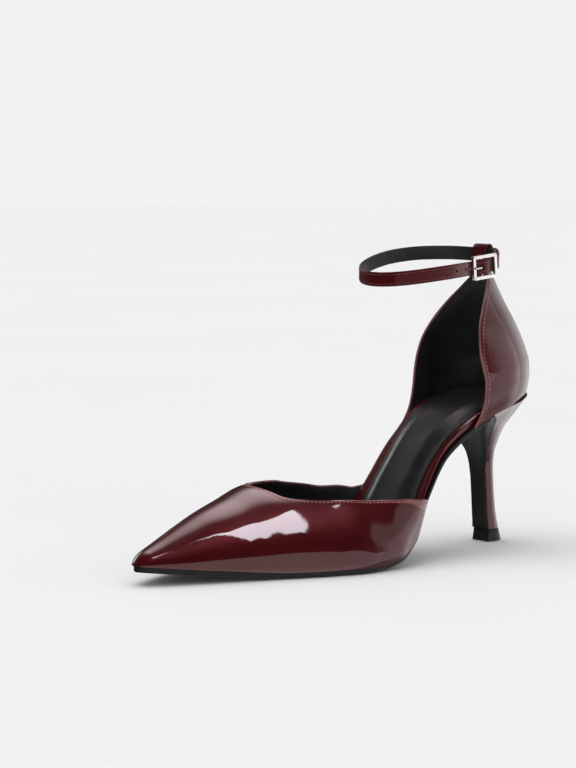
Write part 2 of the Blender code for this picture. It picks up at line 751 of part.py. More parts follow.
def pin_hole_places(curve):
    """Where the pin holes lie on the outer end of the strap, each with its outward direction."""
    first = at_buckle(-2.5 * PRONG, 0.0)
    last_run = curve[-(len(curve) * 2 // 5):]
    nearest = min(range(len(last_run)), key=lambda i: (last_run[i] - first).length)
    holes = []
    walked, target, i = 0.0, 0.0, nearest
    while len(holes) < 3 and i > 0:
        if walked >= target:
            tangent = (last_run[i + 1] - last_run[i - 1]).normalized()
            out = tangent.cross(Vector((0, 0, 1))).normalized()
            holes.append((last_run[i], out))
            target += PIN_HOLE_PITCH
        walked += (last_run[i] - last_run[i - 1]).length
        i -= 1
    return holes


def prong_slot(cutters, paint):
    """The slot in the strap's fold where the prong turns on its bar."""
    bar = -BUCKLE_DIP
    over = 1.9 * HINGE_BAR
    top = bar + HINGE_BAR / 2 + CLEARANCE / 2 + STRAP_FOLD_THICKNESS + 0.25 * CLEARANCE
    bottom = bar - over
    middle = at_buckle(0.0, (top + bottom) / 2)
    _, along, outward, up = buckle_frame_axes()
    mesh = bpy.data.meshes.new("prong_slot")
    shape = bmesh.new()
    bmesh.ops.create_cube(shape, size=1.0)
    size = Matrix.Diagonal((2 * over, top - bottom, PRONG + 3 * CLEARANCE, 1.0))
    turn = Matrix((along, outward, up)).transposed().to_4x4()
    bmesh.ops.transform(shape, matrix=Matrix.Translation(middle) @ turn @ size, verts=shape.verts)
    bmesh.ops.recalc_face_normals(shape, faces=shape.faces)
    shape.to_mesh(mesh)
    shape.free()
    mesh.materials.append(paint)
    made = bpy.data.objects.new("prong_slot", mesh)
    cutters.objects.link(made)
    return made


def make_loop(owner):
    """The folded tab on the counter's peak: a flat ring round both layers of the strap."""
    layer = STRAP_THICKNESS + 1.4 * CLEARANCE
    deep = (layer + STRAP_THICKNESS) / 2 + LOOP_PLAY
    tall = STRAP_WIDTH / 2 + 1.5 * CLEARANCE
    centre = STRAP_BACK + 0.010 * STRAP_REACH - layer / 2
    paint = material("patent", "strap_loop")
    rounds = 5

    def outline(grow, corner):
        points = []
        for turn, (sx, sz) in enumerate(((1, 1), (-1, 1), (-1, -1), (1, -1))):
            for step in range(rounds):
                angle = math.pi / 2 * (turn + step / (rounds - 1))
                points.append((sx * (deep + grow - corner) + corner * math.cos(angle),
                               sz * (tall + grow - corner) + corner * math.sin(angle)))
        return points

    inner = outline(0.0, LOOP_WALL)
    outer = outline(LOOP_WALL, 2 * LOOP_WALL)
    ends = (LOOP_OFFSET - LOOP_WIDTH / 2, LOOP_OFFSET + LOOP_WIDTH / 2)
    verts, faces = [], []
    for x in ends:
        for line in (outer, inner):
            verts += [tuple(place(centre + a, x, STRAP_HEIGHT + b)) for a, b in line]
    n = len(outer)
    for i in range(n):
        j = (i + 1) % n
        faces.append((i, j, 2 * n + j, 2 * n + i))
        faces.append((n + i, n + j, 3 * n + j, 3 * n + i))
        faces.append((i, j, n + j, n + i))
        faces.append((2 * n + i, 2 * n + j, 3 * n + j, 3 * n + i))
    return mesh_object("strap_loop", verts, faces, owner, paint)


def make_buckle(owner, cutters):
    """A rectangular frame whose long rails dip to the hinge bar in its middle."""
    paint = material("silver", "buckle_frame")
    half_long, half_tall, bar = BUCKLE_LENGTH / 2, BUCKLE_HEIGHT / 2, BUCKLE_BAR
    steps = 5

    def outline(grow, corner):
        points = []
        for turn, (sx, sy) in enumerate(((1, 1), (-1, 1), (-1, -1), (1, -1))):
            for step in range(steps):
                angle = math.pi / 2 * (turn + step / (steps - 1))
                points.append((sx * (half_long + grow - corner) + corner * math.cos(angle),
                               sy * (half_tall + grow - corner) + corner * math.sin(angle)))
            if turn in (0, 2):
                rail = sy * (half_tall + grow)
                for share in (0.66, 0.33, 0.0, -0.33, -0.66):
                    points.append((sx * share * (half_long - bar), rail))
        return points

    outer, inner = outline(0.0, 0.9 * bar), outline(-bar, 0.3 * bar)
    verts = []
    for side in (1, -1):
        for line in (outer, inner):
            for p, r in line:
                dip = BUCKLE_DIP * max(0.0, 1 - (p / (half_long - bar))**2)
                verts.append(tuple(at_buckle(p, side * bar / 2 - dip, r)))
    n = len(outer)
    faces = []
    for i in range(n):
        j = (i + 1) % n
        faces.append((i, j, 2 * n + j, 2 * n + i))
        faces.append((n + i, n + j, 3 * n + j, 3 * n + i))
        faces.append((i, j, n + j, n + i))
        faces.append((2 * n + i, 2 * n + j, 3 * n + j, 3 * n + i))
    frame = mesh_object("buckle_frame", verts, faces, owner, paint)
    reach = half_tall - bar / 2
    ends = [at_buckle(0, -BUCKLE_DIP, -reach), at_buckle(0, -BUCKLE_DIP, reach)]
    boolean(frame, rod("hinge_bar", ends, HINGE_BAR / 2, cutters, paint), "UNION")
    return frame


def make_prong(owner):
    """The prong: hooked on the hinge bar, up through the pin hole, its tip on the front bar."""
    bar = -BUCKLE_DIP
    hook = HINGE_BAR / 2 + CLEARANCE / 2 + PRONG / 2
    tip = BUCKLE_BAR / 2 + CLEARANCE / 2 + PRONG / 2
    points = [at_buckle(hook * math.cos(a), bar + hook * math.sin(a)) for a in np.radians([-70, -35, 0, 35, 70])]
    steps = ((0.3, bar + hook), (1.2, bar + hook), (1.8, bar + hook + 0.3 * PRONG), (2.5, bar + hook + PRONG),
             (3.4, tip - 0.4 * PRONG), (4.5, tip))
    points += [at_buckle(-along * PRONG, outward) for along, outward in steps]
    points += [at_buckle(-BUCKLE_LENGTH / 2 + BUCKLE_BAR / 2, tip), at_buckle(-BUCKLE_LENGTH / 2 + 0.2 * PRONG, tip)]
    return rod("buckle_prong", points, PRONG / 2, owner, material("silver", "buckle_prong"), 2)


def main():
    clear_scene()
    owner = collection("ankle_strap_pump")
    cutters = collection("cutters")
    make_vamp(owner)
    make_counter(owner)
    make_insole(owner)
    make_sock(owner)
    make_outsole(owner)
    make_heel(owner)
    make_flap(owner)
    make_top_piece(owner)
    make_strap(owner, cutters)
    make_loop(owner)
    make_buckle(owner, cutters)
    make_prong(owner)


main()
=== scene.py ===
import math

import bmesh
import bpy
import numpy as np
from mathutils import Matrix, Vector
from mathutils.bvhtree import BVHTree


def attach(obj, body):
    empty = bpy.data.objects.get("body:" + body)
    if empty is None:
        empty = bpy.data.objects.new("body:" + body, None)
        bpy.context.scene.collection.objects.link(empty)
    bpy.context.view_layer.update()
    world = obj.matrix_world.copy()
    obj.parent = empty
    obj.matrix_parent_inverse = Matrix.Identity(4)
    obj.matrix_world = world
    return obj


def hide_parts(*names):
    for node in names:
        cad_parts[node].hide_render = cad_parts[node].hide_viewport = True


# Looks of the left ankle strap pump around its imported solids. The sizes, tables and shape functions
# down to `strap_path` repeat those of the solids, so every piece lies where its solid does. Two places
# follow the photo more closely: the medial foot of the topline and the wrap of the heel's cover.
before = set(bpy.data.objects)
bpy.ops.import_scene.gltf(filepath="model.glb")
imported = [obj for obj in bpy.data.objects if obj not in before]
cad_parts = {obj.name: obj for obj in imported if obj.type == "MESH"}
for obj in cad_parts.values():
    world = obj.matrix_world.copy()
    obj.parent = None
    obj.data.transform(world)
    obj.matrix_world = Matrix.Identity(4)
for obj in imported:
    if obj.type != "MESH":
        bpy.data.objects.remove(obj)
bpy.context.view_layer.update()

# Driving dimensions of the whole shoe
SHOE_LENGTH = 0.228
SEAT_HEIGHT = 0.0740
BALL_WIDTH = 0.077
TOE_SPRING = 0.0063
VAMP_HEIGHT = 0.0350
COUNTER_TOP = 0.1332
HEEL_REST = 0.0185
CLEARANCE = 0.0003

# Walls and layers
UPPER_WALL = 0.0018
OUTSOLE_THICKNESS = 0.0026
INSOLE_THICKNESS = 0.0040
SOCK_THICKNESS = 0.0018
FLAP_THICKNESS = 0.0008
OUTSOLE_INSET = 0.0008
WAIST_INSET = 0.0007
SOCK_EDGE_GAP = 0.0006

# Ends of the outline
SEAT_BACK = 0.0030
SEAT_ROUNDING = 0.032
TOE_ROUNDING = 0.007
INSOLE_TOE_GAP = 0.011
INSOLE_TOE_TAPER = 0.0012

# Heel and top piece
TOP_PIECE_HEIGHT = 0.0060
HEEL_DEPTH = 0.0390
HEEL_WIDTH = 0.0494
HEEL_CORNER = 0.0009
BREAST_HOLLOW = 0.0012

# Ankle strap, its loop and its buckle
STRAP_RISE = 0.0053
STRAP_HEIGHT = COUNTER_TOP + STRAP_RISE
STRAP_REACH = 0.0770
STRAP_SPREAD = 0.0487
STRAP_DROOP = 0.0095
STRAP_WIDTH = 0.0066
STRAP_THICKNESS = 0.0011
STRAP_FOLD_THICKNESS = 0.0007
STRAP_BACK = 0.0226
PIN_HOLE = 0.0024
LOOP_WIDTH = 0.0105
LOOP_WALL = 0.0009
LOOP_PLAY = 0.0004
LOOP_OFFSET = 0.0004
BUCKLE_LENGTH = 0.0170
BUCKLE_HEIGHT = 0.0115
BUCKLE_BAR = 0.0017
BUCKLE_DIP = 0.0020
HINGE_BAR = 0.0014
PRONG = 0.0010
BUCKLE_YAW = math.radians(6.7)
BUCKLE_PITCH = math.radians(5.4)

# Half widths of the feather line, where upper meets sole, as shares of BALL_WIDTH
OUTLINE = [
    ("at", "lateral", "medial"),
    (0.000, 0.325, 0.335),
    (0.105, 0.335, 0.345),
    (0.175, 0.338, 0.334),
    (0.237, 0.336, 0.290),
    (0.298, 0.335, 0.240),
    (0.360, 0.369, 0.240),
    (0.421, 0.450, 0.318),
    (0.482, 0.500, 0.412),
    (0.553, 0.508, 0.487),
    (0.623, 0.466, 0.502),
    (0.710, 0.372, 0.440),
    (0.820, 0.257, 0.324),
    (0.908, 0.156, 0.210),
    (0.969, 0.080, 0.120),
    (1.000, 0.045, 0.075),
]

# Feather line from the side: rise as a share of the seat's rise, spring as a share of TOE_SPRING,
# board as a share of INSOLE_THICKNESS
PROFILE = [
    ("at", "rise", "spring", "board"),
    (0.000, 1.000, 0.00, 0.80),
    (0.035, 0.974, 0.00, 0.82),
    (0.096, 0.935, 0.00, 0.88),
    (0.140, 0.899, 0.00, 0.92),
    (0.184, 0.853, 0.00, 0.96),
    (0.228, 0.791, 0.00, 1.00),
    (0.294, 0.655, 0.00, 1.00),
    (0.360, 0.405, 0.00, 1.00),
    (0.417, 0.150, 0.00, 0.92),
    (0.474, 0.038, 0.00, 0.80),
    (0.535, 0.004, 0.00, 0.70),
    (0.600, 0.000, 0.00, 0.65),
    (0.690, 0.000, 0.00, 0.60),
    (0.842, 0.000, 0.42, 0.50),
    (1.000, 0.000, 1.00, 0.40),
]

# Vamp sections: ridge height over the feather line as a share of VAMP_HEIGHT, lean of the ridge to the
# medial side and swell of the wall. Behind the throat the ridge only guides the two sides.
VAMP = [
    ("at", "height", "lean", "swell"),
    (0.360, 1.10, 0.100, 0.04),
    (0.450, 1.25, 0.110, 0.05),
    (0.540, 1.17, 0.120, 0.06),
    (0.620, 1.06, 0.130, 0.06),
    (0.697, 1.00, 0.128, 0.06),
    (0.766, 0.83, 0.105, 0.06),
    (0.820, 0.68, 0.090, 0.05),
    (0.870, 0.52, 0.075, 0.04),
    (0.950, 0.25, 0.045, 0.03),
    (0.982, 0.155, 0.025, 0.02),
    (1.000, 0.12, 0.015, 0.02),
]
VAMP_FLANK = 0.42
VAMP_SHOULDER = 0.64
VAMP_CREST = 0.97

# Vamp topline: how far forward it lies at each height around the section, 0 feather line, 1 ridge
TOPLINE = [
    ("around", "lateral", "medial"),
    (0.00, 0.370, 0.362),
    (0.14, 0.388, 0.386),
    (0.30, 0.418, 0.413),
    (0.43, 0.465, 0.458),
    (0.57, 0.560, 0.515),
    (0.65, 0.630, 0.555),
    (0.70, 0.665, 0.573),
    (0.74, 0.677, 0.590),
    (0.82, 0.685, 0.625),
    (0.91, 0.692, 0.672),
    (1.00, 0.697, 0.697),
]

# Counter rows from the feather line up to COUNTER_TOP: back line and front edges as shares of
# SHOE_LENGTH, width as a factor on the feather line's
COUNTER = [
    ("level", "back", "width", "lateral", "medial"),
    (0.00, 0.013, 1.000, 0.229, 0.245),
    (0.06, 0.008, 1.030, 0.213, 0.215),
    (0.17, 0.005, 1.055, 0.206, 0.199),
    (0.25, 0.006, 1.055, 0.205, 0.195),
    (0.35, 0.014, 1.035, 0.210, 0.190),
    (0.46, 0.026, 1.000, 0.216, 0.180),
    (0.60, 0.045, 0.930, 0.211, 0.156),
    (0.73, 0.065, 0.840, 0.192, 0.134),
    (0.86, 0.083, 0.750, 0.162, 0.113),
    (0.94, 0.092, 0.660, 0.136, 0.106),
    (1.00, 0.098, 0.600, 0.112, 0.112),
]

# Heel sections: height as a share of SEAT_HEIGHT at the back, back and front as shares of HEEL_DEPTH,
# half width as a share of HEEL_WIDTH, tilt towards the seat's slope, and how far the breast flap wraps
# around the sides as a share of HEEL_DEPTH
HEEL = [
    ("height", "back", "front", "half", "tilt", "wrap"),
    (0.000, 0.308, 0.620, 0.117, 0.00, 0.000),
    (0.081, 0.352, 0.606, 0.110, 0.00, 0.000),
    (0.190, 0.402, 0.622, 0.104, 0.00, 0.000),
    (0.338, 0.438, 0.640, 0.104, 0.00, 0.000),
    (0.486, 0.455, 0.664, 0.106, 0.00, 0.000),
    (0.581, 0.440, 0.702, 0.122, 0.00, 0.010),
    (0.662, 0.392, 0.768, 0.165, 0.10, 0.060),
    (0.757, 0.326, 0.866, 0.242, 0.30, 0.110),
    (0.865, 0.208, 0.968, 0.370, 0.65, 0.120),
    (0.993, 0.076, 1.064, 0.508, 1.00, 0.120),
]

# Centre line of the strap in plan, from the buckle's inner end through the loop and round the ankle:
# along as a share of STRAP_REACH, across of STRAP_SPREAD and rise of STRAP_DROOP
STRAP_INNER_END = [
    (0.050, 0.232, -0.26),
    (0.010, 0.130, 0.00),
    (0.010, -0.041, 0.00),
]
STRAP_ROUND = [
    (0.012, -0.175, 0.03),
    (0.077, -0.329, 0.07),
    (0.187, -0.421, 0.08),
    (0.330, -0.462, 0.05),
    (0.512, -0.456, -0.08),
    (0.681, -0.390, -0.29),
    (0.823, -0.298, -0.55),
    (0.927, -0.164, -0.77),
    (0.986, 0.000, -0.93),
    (0.999, 0.185, -1.00),
    (0.940, 0.370, -0.97),
    (0.810, 0.503, -0.84),
    (0.603, 0.530, -0.68),
    (0.434, 0.455, -0.60),
]
STRAP_CENTRE = (0.35, 0.0)
BUCKLE_PLACE = (0.217, 0.3655, -0.516)


def smooth(xs, ys, x):
    """Monotone cubic through the points, after Fritsch and Carlson."""
    xs, ys = np.asarray(xs, float), np.asarray(ys, float)
    x = np.clip(np.asarray(x, float), xs[0], xs[-1])
    step = np.diff(xs)
    slope = np.diff(ys) / step
    grade = np.zeros(len(xs))
    grade[0], grade[-1] = slope[0], slope[-1]
    for i in range(1, len(xs) - 1):
        if slope[i - 1] * slope[i] > 0:
            before = 2 * step[i] + step[i - 1]
            after = step[i] + 2 * step[i - 1]
            grade[i] = (before + after) / (before / slope[i - 1] + after / slope[i])
    k = np.clip(np.searchsorted(xs, x) - 1, 0, len(step) - 1)
    t = (x - xs[k]) / step[k]
    return ((2 * t**3 - 3 * t**2 + 1) * ys[k] + (t**3 - 2 * t**2 + t) * step[k] * grade[k]
            + (-2 * t**3 + 3 * t**2) * ys[k + 1] + (t**3 - t**2) * step[k] * grade[k + 1])


def look_up(table, name, x):
    """A column of a table whose first row names them, read between its rows; the first says where."""
    names, *rows = table
    here = names.index(name)
    return smooth([row[0] for row in rows], [row[here] for row in rows], x)


def rounding(share, power=2.0):
    """Quarter of a superellipse: 0 at share 0, 1 from share 1 on."""
    share = np.clip(share, 0, 1)
    return np.maximum(1 - (1 - share)**power, 0)**(1 / power)


def bump(x, start, rise, fall, end):
    """1 between rise and fall, 0 outside start and end, with soft flanks."""
    up = np.clip((x - start) / (rise - start), 0, 1)
    down = np.clip((end - x) / (end - fall), 0, 1)
    share = np.minimum(up, down)
    return share * share * (3 - 2 * share)


def side_name(side):
    return "lateral" if side > 0 else "medial"


def half_width(at, side, inset=0.0, back=SEAT_BACK):
    """Distance from the centre line to the feather line, or to a line inside it."""
    table_width = look_up(OUTLINE, side_name(side), at / SHOE_LENGTH) * BALL_WIDTH
    heel_end = rounding((at - back - inset) / (SEAT_ROUNDING - inset))
    toe_end = rounding((SHOE_LENGTH - inset - at) / TOE_ROUNDING)
    return (table_width - inset) * heel_end * toe_end


def feather_height(at):
    share = at / SHOE_LENGTH
    rise = look_up(PROFILE, "rise", share) * (SEAT_HEIGHT - OUTSOLE_THICKNESS)
    spring = look_up(PROFILE, "spring", share) * TOE_SPRING
    return OUTSOLE_THICKNESS + rise + spring


def board_thickness(at):
    return look_up(PROFILE, "board", at / SHOE_LENGTH) * INSOLE_THICKNESS


def place(at, x, z):
    """World coordinates of a point given by its distance forward of the heel's back."""
    at, x, z = np.broadcast_arrays(at, x, z)
    return np.stack([x, HEEL_REST - at, z], -1)


def vamp_point(at, around, side):
    """Outer face of the vamp: around is 0 at the feather line and 1 on the ridge."""
    share = at / SHOE_LENGTH
    toe_end = rounding((SHOE_LENGTH - at) / TOE_ROUNDING)
    height = look_up(VAMP, "height", share) * VAMP_HEIGHT * toe_end
    ridge = -look_up(VAMP, "lean", share) * BALL_WIDTH * toe_end
    swell = look_up(VAMP, "swell", share)
    foot, flank = (1 - around)**3, 3 * (1 - around)**2 * around
    crown, top = 3 * (1 - around) * around**2, around**3
    out = foot + flank * (1 + swell) + crown * VAMP_SHOULDER
    up = flank * VAMP_FLANK + crown * VAMP_CREST + top
    x = ridge + (side * half_width(at, side) - ridge) * out
    return place(at, x, feather_height(at) + up * height)


def counter_point(level, share, side):
    """Outer face of the counter: share is 0 on the back line and 1 on that side's front edge."""
    back = look_up(COUNTER, "back", level) * SHOE_LENGTH
    front = look_up(COUNTER, side_name(side), level) * SHOE_LENGTH
    width = look_up(COUNTER, "width", level)
    forward = share * (front - back)
    at = back + forward
    x = side * half_width(forward, side, back=0.0) * width
    bottom = feather_height(at)
    return place(at, x, bottom + level * (COUNTER_TOP - bottom))


def breast_at():
    """Where the heel's front edge meets the seat."""
    return HEEL_DEPTH * look_up(HEEL, "front", 1.0)


def board_inset(at):
    """Inside the upper's wall under vamp and counter, nearly flush with the feather line between."""
    counter_front = SHOE_LENGTH * max(COUNTER[1][3:])
    vamp_back = SHOE_LENGTH * TOPLINE[1][1]
    ends = np.array([0.005, 0.026, -0.031, -0.009]) * SHOE_LENGTH
    waist = bump(at, *(counter_front + ends[:2]), *(vamp_back + ends[2:]))
    tucked = UPPER_WALL + 2 * CLEARANCE
    toe = np.clip((at - 0.80 * SHOE_LENGTH) / (0.15 * SHOE_LENGTH), 0, 1)
    return tucked + (WAIST_INSET - tucked) * waist + INSOLE_TOE_TAPER * toe


def heel_sizes(height):
    """Back, front, half width, tilt and flap wrap of the heel's section at a share of SEAT_HEIGHT."""
    def get(name):
        return float(look_up(HEEL, name, height))
    return (get("back") * HEEL_DEPTH, get("front") * HEEL_DEPTH, get("half") * HEEL_WIDTH,
            get("tilt"), get("wrap") * HEEL_DEPTH)


def heel_height(at, height):
    """Height of a section at a place along it, level at the tip and along the seat at the top."""
    back, _, _, tilt, _ = heel_sizes(height)
    drop = feather_height(np.asarray(back)) - feather_height(np.asarray(at))
    return height * SEAT_HEIGHT - tilt * drop


def flare(height):
    """How much faster the section widens than it rises, as the length of its slope per unit of rise."""
    above, below = heel_sizes(min(height + 0.01, HEEL[-1][0])), heel_sizes(max(height - 0.01, 0.0))
    return math.hypot(1.0, (above[2] - below[2]) / (0.02 * SEAT_HEIGHT))


def front_edge(height, share, swell=0.0):
    """Front and side outline of a section: share runs from -1, back on the medial side, to 1."""
    back, front, half, _, wrap = heel_sizes(height)
    half, front = half + swell, front + swell
    hollow = BREAST_HOLLOW * half / (HEEL_WIDTH / 2)
    corner = HEEL_CORNER + swell
    side_end, corner_end = 0.60, 0.80
    s = abs(share)
    if s > corner_end:
        x = half
        at = front - corner - (s - corner_end) / (1 - corner_end) * wrap
    elif s > side_end:
        angle = math.pi / 2 * (s - side_end) / (corner_end - side_end)
        x = half - corner + corner * math.sin(angle)
        at = front - corner + corner * math.cos(angle)
    else:
        x = (half - corner) * s / side_end
        at = front - hollow * (1 - (s / side_end)**2)
    return math.copysign(x, share), at


def strap_place(along, across, rise):
    return place(STRAP_BACK + along * STRAP_REACH, across * STRAP_SPREAD,
                 STRAP_HEIGHT + rise * STRAP_DROOP)


def buckle_frame_axes():
    """Buckle's centre and axes: towards the heel along the strap, outward, and across the strap."""
    centre = Vector(strap_place(*BUCKLE_PLACE))
    along = Vector((-math.sin(BUCKLE_YAW), math.cos(BUCKLE_YAW), 0.0)) * math.cos(BUCKLE_PITCH)
    along.z = math.sin(BUCKLE_PITCH)
    outward = Vector((math.cos(BUCKLE_YAW), math.sin(BUCKLE_YAW), 0.0))
    return centre, along, outward, outward.cross(along)


def at_buckle(p, q, r=0.0):
    centre, along, outward, up = buckle_frame_axes()
    return centre + along * p + outward * q + up * r


def spline(points, count=8):
    """Points of a smooth curve through the given ones."""
    points = [Vector(p) for p in points]
    ends = [2 * points[0] - points[1]] + points + [2 * points[-1] - points[-2]]
    curve = []
    for a, b, c, d in zip(ends, ends[1:], ends[2:], ends[3:]):
        for t in np.linspace(0, 1, count, endpoint=False):
            curve.append(0.5 * (2 * b + (c - a) * t + (2 * a - 5 * b + 4 * c - d) * t**2
                                + (3 * b - a - 3 * c + d) * t**3))
    curve.append(points[-1])
    return curve


def strap_path():
    """The strap's centre line, its thickness and its upward direction at each point."""
    half_bar = BUCKLE_LENGTH / 2 - BUCKLE_BAR / 2
    under_bar = BUCKLE_BAR / 2 + 1.4 * CLEARANCE + STRAP_THICKNESS / 2
    bar = -BUCKLE_DIP
    fold = HINGE_BAR / 2 + CLEARANCE / 2 + STRAP_FOLD_THICKNESS / 2
    layer = STRAP_THICKNESS + 1.4 * CLEARANCE
    over_bar = bar + fold + STRAP_FOLD_THICKNESS / 2 + 1.7 * CLEARANCE + STRAP_THICKNESS / 2
    inside = half_bar - BUCKLE_BAR / 2 - CLEARANCE
    outside = BUCKLE_LENGTH / 2 + CLEARANCE
    start = [at_buckle(2.9 * fold, bar - 1.1 * fold), at_buckle(0.8 * fold, bar - fold)]
    for angle in np.radians([-60, -30, 0, 30, 60]):
        start.append(at_buckle(-fold * math.cos(angle), bar + fold * math.sin(angle)))
    start.append(at_buckle(0.6 * fold, bar + fold))
    start.append(at_buckle(half_bar * 0.52, bar + fold - 1.15 * STRAP_THICKNESS))
    start.append(at_buckle(half_bar * 0.86, -under_bar - layer))
    inner = [Vector(strap_place(*row)) for row in STRAP_INNER_END]
    around = [Vector(strap_place(*row)) for row in STRAP_ROUND]
    rise = half_bar * 0.34
    shoulder = over_bar - 0.45 * STRAP_THICKNESS
    through = [at_buckle(-outside, -under_bar), at_buckle(-inside, -under_bar), at_buckle(-rise, shoulder),
               at_buckle(0.0, over_bar), at_buckle(rise, shoulder),
               at_buckle(inside, -under_bar), at_buckle(outside, -under_bar)]
    middle = Vector(strap_place(*STRAP_CENTRE, 0.0))
    tail = []
    for point in inner:
        out = point - middle
        out.z = 0.0
        tail.append(point + out.normalized() * layer)
    points = start + inner + around + through + tail
    level, tilted = Vector((0, 0, 1)), buckle_frame_axes()[3]
    lean = [tilted] * len(start) + [level] * (len(inner) + len(around)) + [tilted] * len(through)
    lean += [level] * len(tail)
    curve = spline(points, STRAP_STEPS)
    thin = spline([Vector((STRAP_FOLD_THICKNESS, 0, 0))] * (len(start) - 1)
                  + [Vector((STRAP_THICKNESS, 0, 0))] * (len(points) - len(start) + 1), STRAP_STEPS)
    return curve, [t.x for t in thin], spline(lean, STRAP_STEPS)


# Fineness of the shown surfaces
STRAP_STEPS = 9
AROUND_STEPS = 44
FORWARD_STEPS = 84
LEVEL_STEPS = 64
REACH_STEPS = 40
ARC_STEPS = 7
BOARD_STEPS = 120

# Edges, holes and thread, finer than the solids'
EDGE_WALL = 0.0012
EDGE_TAPER = 0.006
BOARD_LEDGE = 0.0024
TOE_OVERLAP = 9
HOLE_COUNT = 4
HOLE_PITCH = 0.0079
HOLE_RADIUS = 0.0009
RIM_RADIUS = 0.00108
RIM_WIRE = 0.00024
LOOP_SHIFT = 0.0014
LOOP_LIFT = 0.0006
LOOP_SHARE = 0.86
STITCH = (0.00130, 0.00055, 0.00022)   # length, gap and radius
STRAP_STITCH = (0.00105, 0.00035, 0.00015)
STITCH_INSET = 0.0017
COUNTER_INSET = 0.0021
STRAP_STITCH_INSET = 0.00115

# Half widths that the sock keeps within, as shares of BALL_WIDTH
SOCK_LIMIT = [
    ("at", "lateral", "medial"),
    (0.000, 0.300, 0.300),
    (0.100, 0.292, 0.290),
    (0.164, 0.280, 0.264),
    (0.209, 0.276, 0.228),
    (0.266, 0.279, 0.182),
    (0.300, 0.276, 0.150),
    (0.337, 0.272, 0.133),
    (0.372, 0.292, 0.132),
    (0.395, 0.320, 0.145),
    (0.430, 0.390, 0.215),
    (0.482, 0.450, 0.360),
    (0.553, 0.480, 0.460),
    (1.000, 0.480, 0.460),
]

# The heel's cover: where it starts to round off and ends, as shares of the seat's height, and at such
# shares how far round the front it reaches, the corner below and the side above
FLAP_BEND = 0.86
FLAP_TOP = 0.955
FLAP_REACH = [(0.0, 0.64), (0.44, 0.64), (0.54, 0.78), (0.64, 1.0), (0.86, 1.0), (0.93, 0.93), (0.96, 0.80)]


# Materials

def add(tree, kind, inputs=None, **settings):
    """A shader node with its sockets set to values or linked to other nodes' outputs."""
    node = tree.nodes.new("ShaderNode" + kind)
    for key, value in settings.items():
        setattr(node, key, value)
    for key, value in (inputs or {}).items():
        if isinstance(value, bpy.types.NodeSocket):
            tree.links.new(value, node.inputs[key])
        else:
            node.inputs[key].default_value = value
    return node


def noise(tree, scale, detail=2.0):
    spot = add(tree, "TexCoord").outputs["Object"]
    return add(tree, "TexNoise", {"Vector": spot, "Scale": scale, "Detail": detail}).outputs["Fac"]


def cells(tree, scale):
    spot = add(tree, "TexCoord").outputs["Object"]
    return add(tree, "TexVoronoi", {"Vector": spot, "Scale": scale}).outputs["Distance"]


def mix_by(tree, fac, dark, light):
    band = add(tree, "ValToRGB", {"Fac": fac})
    for element, position, colour in zip(band.color_ramp.elements, (0.3, 0.7), (dark, light)):
        element.position, element.color = position, (*colour, 1)
    return band.outputs["Color"]


def spread(tree, fac, low, high):
    ends = {"From Min": 0.25, "From Max": 0.75, "To Min": low, "To Max": high}
    return add(tree, "MapRange", {"Value": fac, **ends}).outputs["Result"]


def add_bump(tree, shader, layers, socket="Normal"):
    """Bump nodes in a chain: each layer is (height, depth in metres)."""
    below = {}
    for height, depth in layers:
        node = add(tree, "Bump", {"Height": height, "Distance": depth, "Strength": 1.0, **below})
        below = {"Normal": node.outputs["Normal"]}
    tree.links.new(below["Normal"], shader.inputs[socket])


def mottled(name, dark, light, mottle, rough, **values):
    """A material with a mottled colour: rough is one value, or low, high and the scale of its mottle."""
    made = bpy.data.materials.new(name)
    made.use_nodes = True
    tree = made.node_tree
    shader = tree.nodes["Principled BSDF"]
    tree.links.new(mix_by(tree, noise(tree, *mottle), dark, light), shader.inputs["Base Color"])
    if isinstance(rough, tuple):
        low, high, scale = rough
        tree.links.new(spread(tree, noise(tree, scale, 3), low, high), shader.inputs["Roughness"])
    else:
        values["Roughness"] = rough
    for key, value in values.items():
        shader.inputs[key.replace("_", " ")].default_value = value
    return made, tree, shader


def patent_leather(name, dark, light, coat=1.0, under=0.45):
    made, tree, shader = mottled(name, dark, light, (38, 3), (0.30, 0.42, 90),
                                 Coat_Weight=coat, Coat_Roughness=0.03, Coat_IOR=1.5, IOR=1.45,
                                 Specular_IOR_Level=under, Specular_Tint=(1.0, 0.20, 0.22, 1))
    add_bump(tree, shader, [(noise(tree, 70, 1), 0.00008), (noise(tree, 620, 2), 0.000004)])
    add_bump(tree, shader, [(noise(tree, 55, 1), 0.00013), (noise(tree, 260, 1), 0.000010)], "Coat Normal")
    return made


def leather(name, dark, light, rough, grain, depth):
    made, tree, shader = mottled(name, dark, light, (120, 4), (rough - 0.06, rough + 0.06, 300),
                                 Specular_IOR_Level=0.45)
    add_bump(tree, shader, [(cells(tree, grain), depth), (noise(tree, grain * 0.4, 4), depth)])
    return made


def rubber(name, dark, light, rough):
    made, tree, shader = mottled(name, dark, light, (200, 5), (rough - 0.08, rough + 0.08, 500),
                                 Specular_IOR_Level=0.25)
    add_bump(tree, shader, [(noise(tree, 1500, 3), 0.00002)])
    return made


def polished_metal(name, dark, light):
    made, tree, shader = mottled(name, dark, light, (400, 3), (0.12, 0.20, 900), Metallic=1.0)
    add_bump(tree, shader, [(noise(tree, 1500, 2), 0.000006)])
    return made


def thread_material(name, dark, light):
    made, tree, shader = mottled(name, dark, light, (800, 2), 0.55, Sheen_Weight=0.3)
    add_bump(tree, shader, [(noise(tree, 4000, 2), 0.00004)])
    return made


